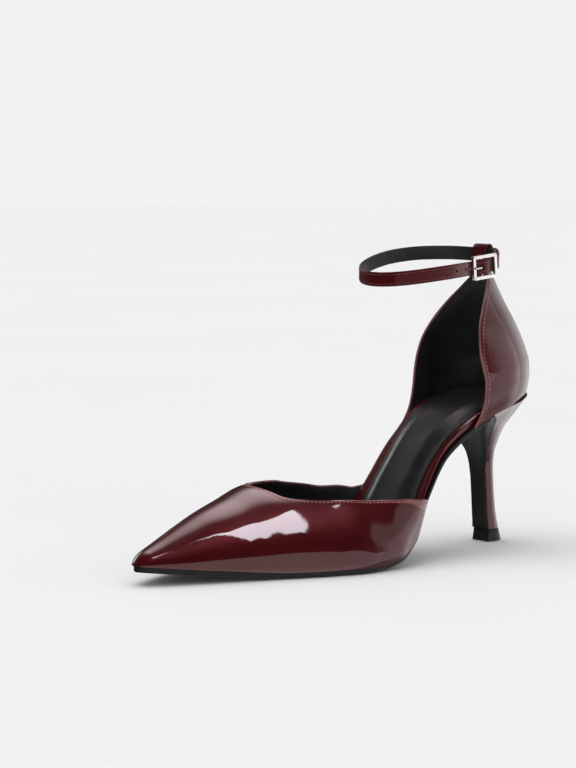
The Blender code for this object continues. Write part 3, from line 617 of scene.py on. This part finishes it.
PATENT = patent_leather("patent_burgundy", (0.042, 0.0019, 0.0028), (0.054, 0.0029, 0.0040), under=0.36)
# Lighter copy of the patent leather for rolled edges and pin-hole rims: a painted highlight where these rims
# catch the light.
PATENT_RIM_HIGHLIGHT = patent_leather("patent_rim_painted_highlight", (0.16, 0.050, 0.052), (0.22, 0.085, 0.085))
PATENT_STRAP = patent_leather("patent_strap", (0.046, 0.0030, 0.0044), (0.060, 0.0050, 0.0066),
                              coat=0.20, under=0.3)
LINING = leather("black_lining", (0.010, 0.0095, 0.010), (0.018, 0.017, 0.018), 0.5, 1500, 0.00003)
SOCK = leather("sock_leather", (0.009, 0.009, 0.0095), (0.015, 0.015, 0.016), 0.33, 1900, 0.00002)
SOLE = rubber("sole_black", (0.006, 0.006, 0.0062), (0.011, 0.011, 0.0112), 0.42)
TOP_PIECE = rubber("top_piece_black", (0.008, 0.008, 0.008), (0.015, 0.015, 0.015), 0.5)
SILVER = polished_metal("silver", (0.74, 0.71, 0.67), (0.84, 0.82, 0.79))
# Near-black hole walls, darker than the leather they cut through: painted shade inside the pin holes.
HOLE = rubber("hole_wall_painted_shade", (0.004, 0.004, 0.004), (0.008, 0.007, 0.007), 0.6)
THREAD = thread_material("thread", (0.38, 0.11, 0.11), (0.56, 0.23, 0.23))
STRAP_THREAD = thread_material("strap_thread", (0.10, 0.014, 0.016), (0.17, 0.035, 0.037))
FLOOR_WHITE, _, _ = mottled("floor_white", (0.86, 0.86, 0.868), (0.88, 0.88, 0.888), (3, 2), 0.75,
                            Specular_IOR_Level=0.2)


# Mesh helpers

def put(name, data):
    made = bpy.data.objects.new(name, data)
    bpy.context.scene.collection.objects.link(made)
    return made


def piece(name, verts, faces, materials, nodes=(), face_material=None, sharp=45):
    """A piece of the root body from points and faces, closed up at its poles and shaded smooth."""
    mesh = bpy.data.meshes.new(name)
    shape = bmesh.new()
    points = [shape.verts.new(v) for v in verts]
    for i, face in enumerate(faces):
        made = shape.faces.new([points[k] for k in face])
        if face_material is not None:
            made.material_index = face_material[i]
    bmesh.ops.remove_doubles(shape, verts=shape.verts, dist=2e-6)
    bmesh.ops.dissolve_degenerate(shape, edges=shape.edges, dist=1e-6)
    bmesh.ops.recalc_face_normals(shape, faces=shape.faces)
    shape.to_mesh(mesh)
    shape.free()
    mesh.shade_smooth()
    mesh.set_sharp_from_angle(angle=math.radians(sharp))
    for material in materials:
        mesh.materials.append(material)
    made = put(name, mesh)
    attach(made, "root")
    if nodes:
        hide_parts(*nodes)
    return made


def loft(name, rings, materials, nodes=(), closed=False, kind=None, ends=None):
    """A skin over rings of points: kind is the material of each strip, ends are the end faces and their
    material, one flat face at either end where none are given."""
    rings = np.asarray(rings)
    count, size, _ = rings.shape
    faces, marks = [], []
    for r in range(count if closed else count - 1):
        s = (r + 1) % count
        for c in range(size):
            d = (c + 1) % size
            faces.append((r * size + c, r * size + d, s * size + d, s * size + c))
            marks.append(kind[c] if kind is not None else 0)
    if not closed:
        caps, mark = ends or ([range(size), range((count - 1) * size, count * size)], 0)
        faces += [tuple(cap) for cap in caps]
        marks += [mark] * len(caps)
    return piece(name, rings.reshape(-1, 3), faces, materials, nodes, marks)


def unit(v):
    return v / np.maximum(np.linalg.norm(v, axis=-1, keepdims=True), 1e-12)


def grid_normals(grid):
    """Normals of a grid of points by central differences; rows that shrink to a point copy the row before."""
    n = np.cross(np.gradient(grid, axis=0), np.gradient(grid, axis=1))
    size = np.linalg.norm(n, axis=-1)
    n = unit(n)
    for r in range(1, len(n)):
        thin = size[r] < 1e-10
        n[r][thin] = n[r - 1][thin]
    return n


def edge_frame(line, normals, inward):
    """Directions into the surface, across an edge line."""
    tangent = unit(np.gradient(line, axis=0))
    into = unit(np.cross(normals, tangent))
    flip = np.sign(np.sum(into * inward, axis=-1, keepdims=True))
    return into * np.where(flip == 0, 1, flip)


def wall_at(distance):
    return EDGE_WALL + (UPPER_WALL - EDGE_WALL) * np.clip(distance / EDGE_TAPER, 0, 1)


def edge_arc(point, normal, into):
    """A half round from the outer face over the edge to the inner face."""
    r = EDGE_WALL / 2
    centre = point + into * r - normal * r
    angles = np.linspace(math.pi / 2, -math.pi / 2, ARC_STEPS)
    return [centre + r * (-math.cos(a) * into + math.sin(a) * normal) for a in angles]


# Vamp

def vamp_grid():
    share = np.linspace(0, 1, AROUND_STEPS + 1)
    across = np.concatenate([share, share[::-1][1:]])
    sides = np.concatenate([np.ones(len(share)), -np.ones(len(share) - 1)])
    step = np.linspace(0, 1, FORWARD_STEPS)
    forward = np.concatenate([[0.0], 0.020 + 0.980 * (1 - (1 - step)**1.3)])
    grid = np.zeros((len(forward), len(across), 3))
    for c, (around, side) in enumerate(zip(across, sides)):
        top = look_up(TOPLINE, side_name(side), around) * SHOE_LENGTH
        grid[:, c] = vamp_point(top + (SHOE_LENGTH - top) * forward, around, side)
    return grid


def make_vamp():
    grid = vamp_grid()
    normals = grid_normals(grid)
    rows, columns, _ = grid.shape
    if normals[rows // 2, columns // 2, 2] < 0:
        normals = -normals
    into = edge_frame(grid[0], normals[0], grid[1] - grid[0])
    rings = []
    for c in range(columns):
        line = [grid[r, c] for r in range(rows - 1, 0, -1)]
        arc = edge_arc(grid[0, c], normals[0, c], into[c])
        inner = []
        for r in range(1, rows):
            k = min(r, rows - TOE_OVERLAP)
            away = np.linalg.norm(grid[k, c] - grid[0, c])
            inner.append(grid[k, c] - normals[k, c] * wall_at(away))
        rings.append(line + arc + inner)
    size = len(rings[0])
    # Strips: 0 outer patent, 1 lining, 2 the rolled edge in lighter patent as a painted highlight.
    kind = []
    for k in range(size):
        inside = rows + ARC_STEPS - 2 <= k < size - 1
        kind.append(1 if inside else 2 if rows - 2 <= k < rows + ARC_STEPS - 2 else 0)
    ends = []
    for c in (0, columns - 1):
        for k in range(size // 2 - 1):
            a, b = c * size + k, c * size + size - 1 - k
            ends.append((a, a + 1, b - 1, b))
    made = loft("vamp_shell", rings, [PATENT, LINING, PATENT_RIM_HIGHLIGHT], ["vamp"], kind=kind,
                ends=(ends, 0))
    return made, grid, into


# Counter

def counter_rows():
    level = np.linspace(0, 1, LEVEL_STEPS)
    level = level + 0.06 * np.sin(2 * math.pi * level) / (2 * math.pi)
    share = np.linspace(0, 1, REACH_STEPS)**1.45
    grid = np.zeros((LEVEL_STEPS, 2 * REACH_STEPS - 1, 3))
    for r, here in enumerate(level):
        lateral = counter_point(here, share, 1)
        medial = counter_point(here, share, -1)
        grid[r] = np.concatenate([lateral[::-1], medial[1:]])
    return grid


def make_counter():
    grid = counter_rows()
    normals = grid_normals(grid)
    rows, columns, _ = grid.shape
    if normals[rows // 2, columns // 2, 1] < 0:
        normals = -normals
    lateral = edge_frame(grid[:, 0], normals[:, 0], grid[:, 1] - grid[:, 0])
    medial = edge_frame(grid[:, -1], normals[:, -1], grid[:, -2] - grid[:, -1])
    rings = []
    for row, out, first_into, last_into in zip(grid, normals, lateral, medial):
        away = np.minimum(np.linalg.norm(row[1:-1] - row[0], axis=1),
                          np.linalg.norm(row[1:-1] - row[-1], axis=1))
        inner = (row[1:-1] - out[1:-1] * wall_at(away)[:, None])[::-1]
        first = edge_arc(row[0], out[0], first_into)[::-1]
        last = edge_arc(row[-1], out[-1], last_into)
        rings.append(first + list(row[1:-1]) + last + list(inner))
    size = len(rings[0])
    outer_end = ARC_STEPS + columns - 2
    # Strips: 0 outer patent, 1 lining, 2 the rolled edges in lighter patent as a painted highlight.
    kind = []
    for k in range(size):
        inside = outer_end + ARC_STEPS - 1 <= k < size - 1
        rim = k < ARC_STEPS - 1 or outer_end <= k < outer_end + ARC_STEPS - 1
        kind.append(1 if inside else 2 if rim else 0)
    ends = []
    half = ARC_STEPS // 2
    for r in (0, rows - 1):
        turned = [r * size + (k + half) % size for k in range(size)]
        for k in range(size // 2 - 1):
            ends.append((turned[k], turned[k + 1], turned[size - 2 - k], turned[size - 1 - k]))
    made = loft("counter_shell", rings, [PATENT, LINING, PATENT_RIM_HIGHLIGHT], ["counter"], kind=kind,
                ends=(ends, 1))
    return made, grid, lateral, medial


# Stitches

def at_walk(walked, values, here):
    return np.array([np.interp(here, walked, values[:, i]) for i in range(3)])


def stitches(name, lines, thread, sizes, rings=5, around=6):
    """Short thread capsules along lines of (points, normals), half sunk in the surface."""
    length, gap, radius = sizes
    verts, faces = [], []
    for points, normals in lines:
        points, normals = np.asarray(points), np.asarray(normals)
        walked = np.concatenate([[0], np.cumsum(np.linalg.norm(np.diff(points, axis=0), axis=1))])
        start = gap
        while start + length < walked[-1]:
            shares = np.linspace(0, 1, rings)
            spots = np.array([at_walk(walked, points, start + share * length) for share in shares])
            up = unit(at_walk(walked, normals, start + length / 2))
            along = unit(spots[-1] - spots[0])
            side = np.cross(along, up)
            base = len(verts)
            for share, spot in zip(shares, spots):
                fat = radius * math.sqrt(max(0.12, 1 - (2 * share - 1)**2 * 0.88))
                lift = up * (0.10 * radius + 0.35 * radius * math.sin(math.pi * share))
                for angle in np.linspace(0, 2 * math.pi, around + 1)[:-1]:
                    verts.append(spot + lift + side * fat * math.cos(angle) + up * fat * math.sin(angle))
            last = base + (rings - 1) * around
            for ring in range(base, last, around):
                for k in range(around):
                    n = (k + 1) % around
                    faces.append((ring + k, ring + n, ring + around + n, ring + around + k))
            faces += [tuple(range(base, base + around)), tuple(range(last, last + around))]
            start += length + gap
    return piece(name, verts, faces, [thread], sharp=80)


def surface_line(made, points, inward, distance):
    """Points of a line at a distance inside an edge, laid on the made piece, with their normals."""
    shape = bmesh.new()
    shape.from_mesh(made.data)
    tree = BVHTree.FromBMesh(shape)
    shape.free()
    spots, normals = [], []
    for point, into in zip(points, inward):
        spot, normal, _, _ = tree.find_nearest(Vector(point + into * distance))
        spots.append(np.array(spot))
        normals.append(np.array(normal))
    return np.array(spots), np.array(normals)


# Layers under the foot and the sole

def dense_stations(start, end, count):
    near_end = np.array([0.0, 0.0001, 0.0004, 0.0010, 0.0018, 0.0028])
    middle = np.linspace(start + 0.0040, end - 0.0040, count)
    return np.concatenate([start + near_end, middle, (end - near_end)[::-1]])


def slab(name, at, width, bottom, top, corner, materials, nodes, low_corner=None):
    """A slab whose section has rounded corners; top(at, u) is its height at share u across."""
    across = np.sin(np.linspace(-1, 1, 41) * math.pi / 2)
    low_corner = corner * 0.4 if low_corner is None else low_corner
    rings = []
    for here in at:
        widths = {-1: width(here, -1), 1: width(here, 1)}
        low, edge_top = float(bottom(here)), float(top(here, 1.0))
        room = min(0.5 * (edge_top - low), 0.5 * sum(widths.values()))
        soft, hard = min(corner, room), min(low_corner, room)

        def flank(side):
            points = []
            for middle, round_by, angles in ((low + hard, hard, (-60, -30, 0)),
                                             (edge_top - soft, soft, (0, 22.5, 45, 67.5))):
                for angle in np.radians(angles):
                    out = max(widths[side] - round_by, 0) + round_by * math.cos(angle)
                    points.append(place(here, side * out, middle + round_by * math.sin(angle)))
            return points

        def reach(u, round_by):
            return u * max(widths[1 if u > 0 else -1] - round_by, 0.0)

        floor_side = [place(here, reach(u, hard), low) for u in across]
        top_side = [place(here, reach(u, soft), float(top(here, u))) for u in across[::-1]]
        rings.append(floor_side + flank(1) + top_side + flank(-1)[::-1])
    return loft(name, rings, materials, nodes)


def make_outsole():
    start, end = breast_at() + 2 * CLEARANCE, SHOE_LENGTH - OUTSOLE_INSET - CLEARANCE
    return slab("outsole_shell", dense_stations(start, end, BOARD_STEPS),
                lambda s, side: half_width(s, side, OUTSOLE_INSET),
                lambda s: feather_height(s) - OUTSOLE_THICKNESS,
                lambda s, u: feather_height(s) - CLEARANCE * 0.3, 0.0002,
                [SOLE], ["outsole"], 0.0007)


def board_width(at, side, gap=0.0):
    return float(half_width(at, side, max(float(board_inset(at)), BOARD_LEDGE) + gap))


def sock_width(at, side):
    limit = look_up(SOCK_LIMIT, side_name(side), at / SHOE_LENGTH)
    return min(board_width(at, side, SOCK_EDGE_GAP), float(limit) * BALL_WIDTH)


def make_insole():
    start = SEAT_BACK + UPPER_WALL + 3 * CLEARANCE
    return slab("insole_board", dense_stations(start, SHOE_LENGTH - INSOLE_TOE_GAP, BOARD_STEPS),
                board_width, feather_height, lambda s, u: feather_height(s) + board_thickness(s), 0.0011,
                [PATENT], ["insole"])


def sock_top(at, u):
    seat = feather_height(at) + board_thickness(at) + CLEARANCE
    shoulder = min(max((0.90 - abs(u)) / 0.42, 0.0), 1.0)
    pad = shoulder**2 * (3 - 2 * shoulder)
    dish = 1 - 0.16 * max(0.0, 1 - (u / 0.55)**2)
    return seat + SOCK_THICKNESS * (0.26 + 0.74 * pad * dish)


def make_sock():
    start = SEAT_BACK + UPPER_WALL + 3 * CLEARANCE + SOCK_EDGE_GAP + CLEARANCE
    at = dense_stations(start, SHOE_LENGTH - INSOLE_TOE_GAP - 2 * SOCK_EDGE_GAP, BOARD_STEPS)
    return slab("sock_pad", at, sock_width,
                lambda s: feather_height(s) + board_thickness(s) + 0.1 * CLEARANCE, sock_top, 0.0004,
                [SOCK], ["sock"])


# Heel

FRONT_SHARES = np.concatenate([[0.80], np.linspace(0.80, 0.60, 8)[1:], np.linspace(0.60, 0.0, 9)[1:]])


def heel_ring(height, shrink=0.0):
    back, front, half, _, _ = heel_sizes(height)
    half = half - shrink
    middle = back + min(1.25 * half, 0.66 * (front - back))
    points = []
    for angle in np.linspace(-math.pi / 2, math.pi / 2, 41):
        points.append((half * math.sin(angle), middle - (middle - back - shrink) * math.cos(angle)))
    sides = [front_edge(height, share, -shrink) for share in FRONT_SHARES]
    x, at = np.array(points + sides + [(-x, at) for x, at in sides[::-1][1:]]).T
    return place(at, x, heel_height(at, height))


def make_heel():
    lowest = (TOP_PIECE_HEIGHT + CLEARANCE * 0.5) / SEAT_HEIGHT
    rings = [heel_ring(height) for height in np.linspace(lowest, HEEL[-1][0], 90)]
    rings[-1][:, 2] = feather_height(HEEL_REST - rings[-1][:, 1]) - CLEARANCE * 0.7
    return loft("heel_patent", rings, [PATENT], ["heel"])


def make_top_piece():
    rings = []
    for z, shrink in ((0.0, 0.0004), (0.00012, 0.00015), (0.0004, 0.0), (0.002, 0.0), (0.004, 0.0),
                      (TOP_PIECE_HEIGHT - 0.0003, 0.0), (TOP_PIECE_HEIGHT, 0.00015)):
        ring = heel_ring(max(z, 0.0001) / SEAT_HEIGHT, shrink)
        ring[:, 2] = z
        rings.append(ring)
    return loft("top_piece_rubber", rings, [TOP_PIECE], ["top_piece"])


def flap_share(height, share):
    """A share of the whole front and side, drawn in to where the cover ends at this height."""
    end = float(np.interp(height, *zip(*FLAP_REACH)))
    flat = 0.6
    drawn = min(abs(share), flat) + max(abs(share) - flat, 0.0) * (end - flat) / (1 - flat)
    return math.copysign(drawn, share)


def make_flap():
    lowest = (TOP_PIECE_HEIGHT + CLEARANCE) / SEAT_HEIGHT
    heights = np.concatenate([np.linspace(lowest, FLAP_BEND, 64), np.linspace(FLAP_BEND, FLAP_TOP, 12)[1:]])
    sides = np.concatenate([np.linspace(1.0, 0.80, 10), FRONT_SHARES[1:]])
    shares = np.concatenate([sides, -sides[::-1][1:]])
    rings = []
    for height in heights:
        ring = []
        for swell, order in ((CLEARANCE * 0.4 + FLAP_THICKNESS, shares), (CLEARANCE * 0.4, shares[::-1])):
            for share in order:
                x, at = front_edge(height, flap_share(height, share), swell * flare(height))
                ring.append(place(at, x, heel_height(at, height)))
        rings.append(ring)
    return loft("heel_flap_cover", rings, [SOLE], ["heel_flap"])


# Strap, loop and buckle

def circle(radius, count, flat=1.0):
    angles = np.linspace(0, 2 * math.pi, count + 1)[:-1]
    return [(radius * math.cos(a), radius * flat * math.sin(a)) for a in angles]


def rounded_box(width, height, radius, steps=4):
    """Points of a rounded rectangle, each with the angle of its outward direction."""
    points = []
    for x, y, turn in ((1, 1, 0), (-1, 1, 90), (-1, -1, 180), (1, -1, 270)):
        for step in range(steps + 1):
            angle = math.radians(turn + 90 * step / steps)
            points.append((x * (width / 2 - radius) + radius * math.cos(angle),
                           y * (height / 2 - radius) + radius * math.sin(angle), angle))
    return points


def band_section(thickness, width):
    """Section of the strap: (outward, upward) points, softly crowned on its outer face."""
    corner = min(0.00042, thickness * 0.42)
    points = [(x, y) for x, y, _ in rounded_box(thickness, width, corner)]
    for share in (-0.5, 0.0, 0.5):
        points.append((thickness / 2 + 0.00006 * (1 - share**2), share * (width / 2 - corner)))
    return points


def sweep(name, points, sides, ups, section, material, nodes=(), closed=False):
    rings = [[tuple(Vector(p) + Vector(s) * a + Vector(u) * b) for a, b, *_ in section]
             for p, s, u in zip(points, sides, ups)]
    return loft(name, rings, [material], nodes, closed)


def tangent_at(points, i):
    return (points[min(i + 1, len(points) - 1)] - points[max(i - 1, 0)]).normalized()


def make_strap():
    """The strap with its holes; also its centre line, thickness, outward and upward directions."""
    curve, thickness, lean = strap_path()
    rings, outs, ups = [], [], []
    for i, (point, thick) in enumerate(zip(curve, thickness)):
        tangent = tangent_at(curve, i)
        upright = (lean[i] - tangent * tangent.dot(lean[i])).normalized()
        out = tangent.cross(upright)
        outs.append(out)
        ups.append(upright)
        rings.append([tuple(point + out * a + upright * b) for a, b in band_section(thick, STRAP_WIDTH)])
    section = band_section(STRAP_THICKNESS, STRAP_WIDTH)
    inward = [a < -STRAP_THICKNESS * 0.2 for a, _ in section]
    kind = [1 if here and after else 0 for here, after in zip(inward, inward[1:] + inward[:1])]
    # Third material: near-black painted shade for the walls of the punched holes.
    made = loft("ankle_strap_band", rings, [PATENT_STRAP, LINING, HOLE], ["ankle_strap"], kind=kind)
    for i, (spot, out) in enumerate(pin_holes(curve)):
        punch(made, spot, out * STRAP_THICKNESS, HOLE_RADIUS if i else PIN_HOLE / 2)
        if i:
            hole_rim("pin_hole_rim_%d" % i, spot + out * STRAP_THICKNESS / 2, out)
    return curve, thickness, outs, ups


def hole_rim(name, centre, out):
    """The pressed rim round a pin hole, in lighter patent as a painted highlight."""
    right = out.cross(Vector((0, 0, 1))).normalized()
    up = right.cross(out).normalized()
    rays = [right * a + up * b for a, b in circle(1.0, 24)]
    points = [centre + ray * RIM_RADIUS for ray in rays]
    return sweep(name, points, rays, [out] * len(rays), circle(RIM_WIRE, 8), PATENT_RIM_HIGHLIGHT,
                 closed=True)


def pin_holes(curve):
    """Centres of the pin holes on the outer end of the strap, from the prong's on, and their directions."""
    first = at_buckle(-2.5 * PRONG, 0.0)
    run = curve[-(len(curve) // 2):]
    i = min(range(len(run)), key=lambda k: (run[k] - first).length)
    holes, walked, target = [], 0.0, 0.0
    while len(holes) < HOLE_COUNT and i > 0:
        if walked >= target:
            holes.append((run[i], tangent_at(run, i).cross(Vector((0, 0, 1))).normalized()))
            target += HOLE_PITCH
        walked += (run[i] - run[i - 1]).length
        i -= 1
    return holes


def punch(made, middle, reach, radius):
    """Cuts a round hole through a piece, its walls near black as painted shade."""
    mesh = bpy.data.meshes.new("punch")
    shape = bmesh.new()
    bmesh.ops.create_cone(shape, cap_ends=True, segments=20, radius1=radius, radius2=radius,
                          depth=2 * reach.length)
    turn = reach.to_track_quat("Z", "Y").to_matrix().to_4x4()
    bmesh.ops.transform(shape, matrix=Matrix.Translation(middle) @ turn, verts=shape.verts)
    # The hole walls take material 2, the near-black painted shade.
    for face in shape.faces:
        face.material_index = 2
        face.smooth = True
    shape.to_mesh(mesh)
    shape.free()
    for material in made.data.materials:
        mesh.materials.append(material)
    cutter = put("punch", mesh)
    modifier = made.modifiers.new("hole", "BOOLEAN")
    modifier.operation = "DIFFERENCE"
    modifier.solver = "EXACT"
    modifier.object = cutter
    bpy.context.view_layer.update()
    cut = bpy.data.meshes.new_from_object(made.evaluated_get(bpy.context.evaluated_depsgraph_get()))
    made.modifiers.clear()
    made.data = cut
    bpy.data.objects.remove(cutter, do_unlink=True)


def make_loop():
    layer = STRAP_THICKNESS + 1.4 * CLEARANCE
    deep = layer + STRAP_THICKNESS + 2 * LOOP_PLAY + LOOP_WALL
    tall = STRAP_WIDTH + 3 * CLEARANCE + LOOP_WALL
    centre = STRAP_BACK + 0.010 * STRAP_REACH - layer / 2
    points, sides = [], []
    for a, b, angle in rounded_box(deep, tall, 0.0013 + LOOP_WALL / 2, 6):
        points.append(place(centre + a, LOOP_OFFSET - LOOP_SHIFT, STRAP_HEIGHT + b + LOOP_LIFT * (b > 0)))
        sides.append((0.0, -math.cos(angle), math.sin(angle)))
    return sweep("strap_loop_tab", points, sides, [(1.0, 0.0, 0.0)] * len(points),
                 rounded_box(LOOP_WALL, LOOP_SHARE * LOOP_WIDTH, 0.0004), PATENT, ["strap_loop"],
                 closed=True)


def make_buckle():
    _, along, outward, up = buckle_frame_axes()
    points, sides = [], []
    for p, r, angle in rounded_box(BUCKLE_LENGTH - BUCKLE_BAR, BUCKLE_HEIGHT - BUCKLE_BAR, 0.0002, 6):
        points.append(at_buckle(p, 0.0, r))
        sides.append(along * math.cos(angle) + up * math.sin(angle))
    sweep("buckle_frame_silver", points, sides, [outward] * len(points),
          rounded_box(BUCKLE_BAR, BUCKLE_BAR * 0.85, 0.00022), SILVER, ["buckle_frame"],
          closed=True)
    reach = BUCKLE_HEIGHT / 2 - BUCKLE_BAR / 2
    ends = [at_buckle(0, -BUCKLE_DIP, share * reach) for share in np.linspace(-1, 1, 5)]
    sweep("buckle_hinge_bar", ends, [along] * 5, [outward] * 5, circle(HINGE_BAR / 2, 16), SILVER)
    for side, name in ((-1, "low"), (1, "high")):
        ear = [at_buckle(0, -BUCKLE_DIP * share, side * reach) for share in (1.3, 0.9, 0.5, 0.1)]
        sweep("buckle_ear_" + name, ear, [along] * 4, [up] * 4,
              rounded_box(2.2 * HINGE_BAR, 0.8 * BUCKLE_BAR, 0.0003), SILVER)


def prong_points():
    """From the eye round the hinge bar to the tip on the frame's outer bar."""
    bar = -BUCKLE_DIP
    hook = HINGE_BAR / 2 + CLEARANCE / 2 + PRONG / 2
    tip = BUCKLE_BAR / 2 + CLEARANCE / 2 + PRONG / 2
    eye = [(hook * math.cos(a), bar + hook * math.sin(a)) for a in np.radians([-70, -35, 0, 35, 70])]
    rise = [(-0.0003, bar + hook), (-0.0012, bar + hook), (-0.0018, bar + hook + 0.0003),
            (-0.0025, bar + hook + 0.0010), (-0.0034, tip - 0.0004), (-0.0045, tip)]
    rest = [(-BUCKLE_LENGTH / 2 + BUCKLE_BAR / 2, tip - 0.0001), (-BUCKLE_LENGTH / 2 + 0.0002, tip - 0.0001)]
    return [at_buckle(p, q) for p, q in eye + rise + rest]


def make_prong():
    points = spline(prong_points(), 4)
    up = buckle_frame_axes()[3]
    ups = [up.cross(tangent_at(points, i)).normalized() for i in range(len(points))]
    return sweep("buckle_prong_silver", points, [up] * len(points), ups, circle(PRONG / 2, 12, 0.9),
                 SILVER, ["buckle_prong"])


# Making the pieces

vamp, vamp_points, vamp_into = make_vamp()
counter, counter_points, counter_lateral, counter_medial = make_counter()
make_outsole()
make_insole()
make_sock()
make_heel()
make_top_piece()
make_flap()
strap_line = make_strap()
make_loop()
make_buckle()
make_prong()

stitches("vamp_stitches", [surface_line(vamp, vamp_points[0], vamp_into, STITCH_INSET)], THREAD, STITCH)
low, high = 2, LEVEL_STEPS - 6
stitches("counter_stitches", [
    surface_line(counter, counter_points[low:high, 0], counter_lateral[low:high], COUNTER_INSET),
    surface_line(counter, counter_points[low:high, -1], counter_medial[low:high], COUNTER_INSET),
], THREAD, STITCH)
seen_from = 13 * STRAP_STEPS
lines = []
for side in (-1, 1):
    rise = side * (STRAP_WIDTH / 2 - STRAP_STITCH_INSET)
    spots = [point + out * (thick / 2) + up * rise for point, thick, out, up in zip(*strap_line)]
    lines.append((spots[seen_from:], strap_line[2][seen_from:]))
stitches("strap_stitches", lines, STRAP_THREAD, STRAP_STITCH)

# Studio

floor_mesh = bpy.data.meshes.new("floor")
shape = bmesh.new()
bmesh.ops.create_grid(shape, x_segments=8, y_segments=8, size=12.0)
bmesh.ops.translate(shape, verts=shape.verts, vec=(0, 0, -0.00005))
shape.to_mesh(floor_mesh)
shape.free()
floor = put("floor", floor_mesh)
floor_mesh.materials.append(FLOOR_WHITE)
floor.visible_glossy = False


def direction(azimuth, elevation):
    azimuth, elevation = math.radians(azimuth), math.radians(elevation)
    return Vector((math.sin(azimuth) * math.cos(elevation), -math.cos(azimuth) * math.cos(elevation),
                   math.sin(elevation)))


def soft_step(tree, axis, low, high):
    """0 to 1 as the share of a ray's direction along an axis goes from low to high."""
    ray = add(tree, "TexCoord").outputs["Generated"]
    dot = add(tree, "VectorMath", {0: ray, 1: axis}, operation="DOT_PRODUCT").outputs["Value"]
    return add(tree, "MapRange", {"Value": dot, "From Min": low, "From Max": high},
               interpolation_type="SMOOTHSTEP").outputs["Result"]


# The room: white to the camera, plain fill for dull surfaces, and lamps in the dark for shiny ones
ROOM_WHITE = 0.888
FILL = 0.67
DIM = 0.02
GLOWS = [
    # azimuth, elevation, angle where it ends, angle where it is full, colour
    (-131, 53, 21, 4, (2.8, 2.4, 2.46)),
    (-90, 20, 22, 5, (1.9, 1.9, 1.9)),
    (-178, -14, 40, 10, (0.8, 0.78, 0.78)),
    (0, -90, 80, 64, (0.55, 0.55, 0.55)),
]
PANELS = [
    # corners (azimuth, elevation), softness, colour
    ([(109.5, 75.7), (97.7, 51.8), (171.4, 71.6)], 0.006, (14.0, 13.2, 14.6)),
    ([(123.7, 83.8), (106.1, 74.9), (115.6, 75.1)], 0.004, (14.0, 13.2, 14.6)),
    ([(35, -16), (134, -16), (131, 20), (92, 20), (62, 27), (35, 27)], 0.012, (1.06, 1.02, 1.04)),
    ([(133.3, -14), (168, -14), (164, 44), (138, 42), (129, 28), (130.3, 19)], 0.03, (0.62, 0.58, 0.59)),
    ([(133.3, -16), (168, -16), (164, 14), (130.6, 16)], 0.04, (0.44, 0.42, 0.43)),
    ([(164, -14), (225, -14), (225, 26), (160, 30)], 0.16, (0.34, 0.32, 0.32)),
]


def panel(tree, corners, softness):
    """A straight-edged patch of light in the room, as a node value from 0 to 1."""
    rays = [direction(*corner) for corner in corners]
    middle = sum(rays, Vector((0, 0, 0))).normalized()
    total = 1.0
    for here, after in zip(rays, rays[1:] + rays[:1]):
        edge = here.cross(after).normalized()
        if edge.dot(middle) < 0:
            edge = -edge
        inside = soft_step(tree, edge, -softness, softness)
        total = add(tree, "Math", {0: total, 1: inside}, operation="MULTIPLY").outputs["Value"]
    return total


def world_light():
    world = bpy.data.worlds.new("studio")
    bpy.context.scene.world = world
    world.use_nodes = True
    tree = world.node_tree
    tree.nodes.clear()
    lamps = [(panel(tree, corners, softness), colour) for corners, softness, colour in PANELS]
    for azimuth, elevation, ends, full, colour in GLOWS:
        start, end = math.cos(math.radians(ends)), math.cos(math.radians(full))
        lamps.append((soft_step(tree, direction(azimuth, elevation), start, end), colour))
    light = (DIM, DIM, DIM)
    for value, colour in lamps:
        light = add(tree, "VectorMath", {0: value, 1: colour, 2: light}, operation="MULTIPLY_ADD").outputs[0]
    seen = add(tree, "Background", {"Color": (0.995, 0.995, 1.0, 1), "Strength": ROOM_WHITE})
    fill = add(tree, "Background", {"Color": (1.0, 1.0, 1.0, 1), "Strength": FILL})
    room = add(tree, "Background", {"Color": light, "Strength": 1.0})
    path = add(tree, "LightPath").outputs
    lit = add(tree, "MixShader", {"Fac": path["Is Glossy Ray"], 1: fill.outputs[0], 2: room.outputs[0]})
    shown = add(tree, "MixShader", {"Fac": path["Is Camera Ray"], 1: lit.outputs[0], 2: seen.outputs[0]})
    add(tree, "OutputWorld", {"Surface": shown.outputs[0]})


def sun(azimuth, elevation, spread_angle, strength):
    data = bpy.data.lights.new("soft_sun", "SUN")
    data.energy = strength
    data.angle = math.radians(spread_angle)
    light = put("soft_sun", data)
    light.rotation_mode = "QUATERNION"
    light.rotation_quaternion = direction(azimuth, elevation).to_track_quat("Z", "Y")
    light.visible_glossy = False


world_light()
sun(azimuth=-60, elevation=72, spread_angle=60, strength=1.24)

# Camera

CAMERA_AIM = Vector((-0.0416, -0.0915, 0.07809))
CAMERA_AZIMUTH = 51.26
CAMERA_ELEVATION = 5.06
CAMERA_DISTANCE = 1.087
CAMERA_LENS = 107.81
camera_data = bpy.data.cameras.new("camera")
camera_data.lens = CAMERA_LENS
camera_data.sensor_width = 36.0
camera_data.clip_start, camera_data.clip_end = 0.05, 60.0
camera = put("camera", camera_data)
back = direction(CAMERA_AZIMUTH, CAMERA_ELEVATION)
camera.location = CAMERA_AIM + back * CAMERA_DISTANCE
camera.rotation_mode = "QUATERNION"
camera.rotation_quaternion = back.to_track_quat("Z", "Y")
bpy.context.scene.camera = camera
bpy.context.scene.view_settings.view_transform = "Standard"
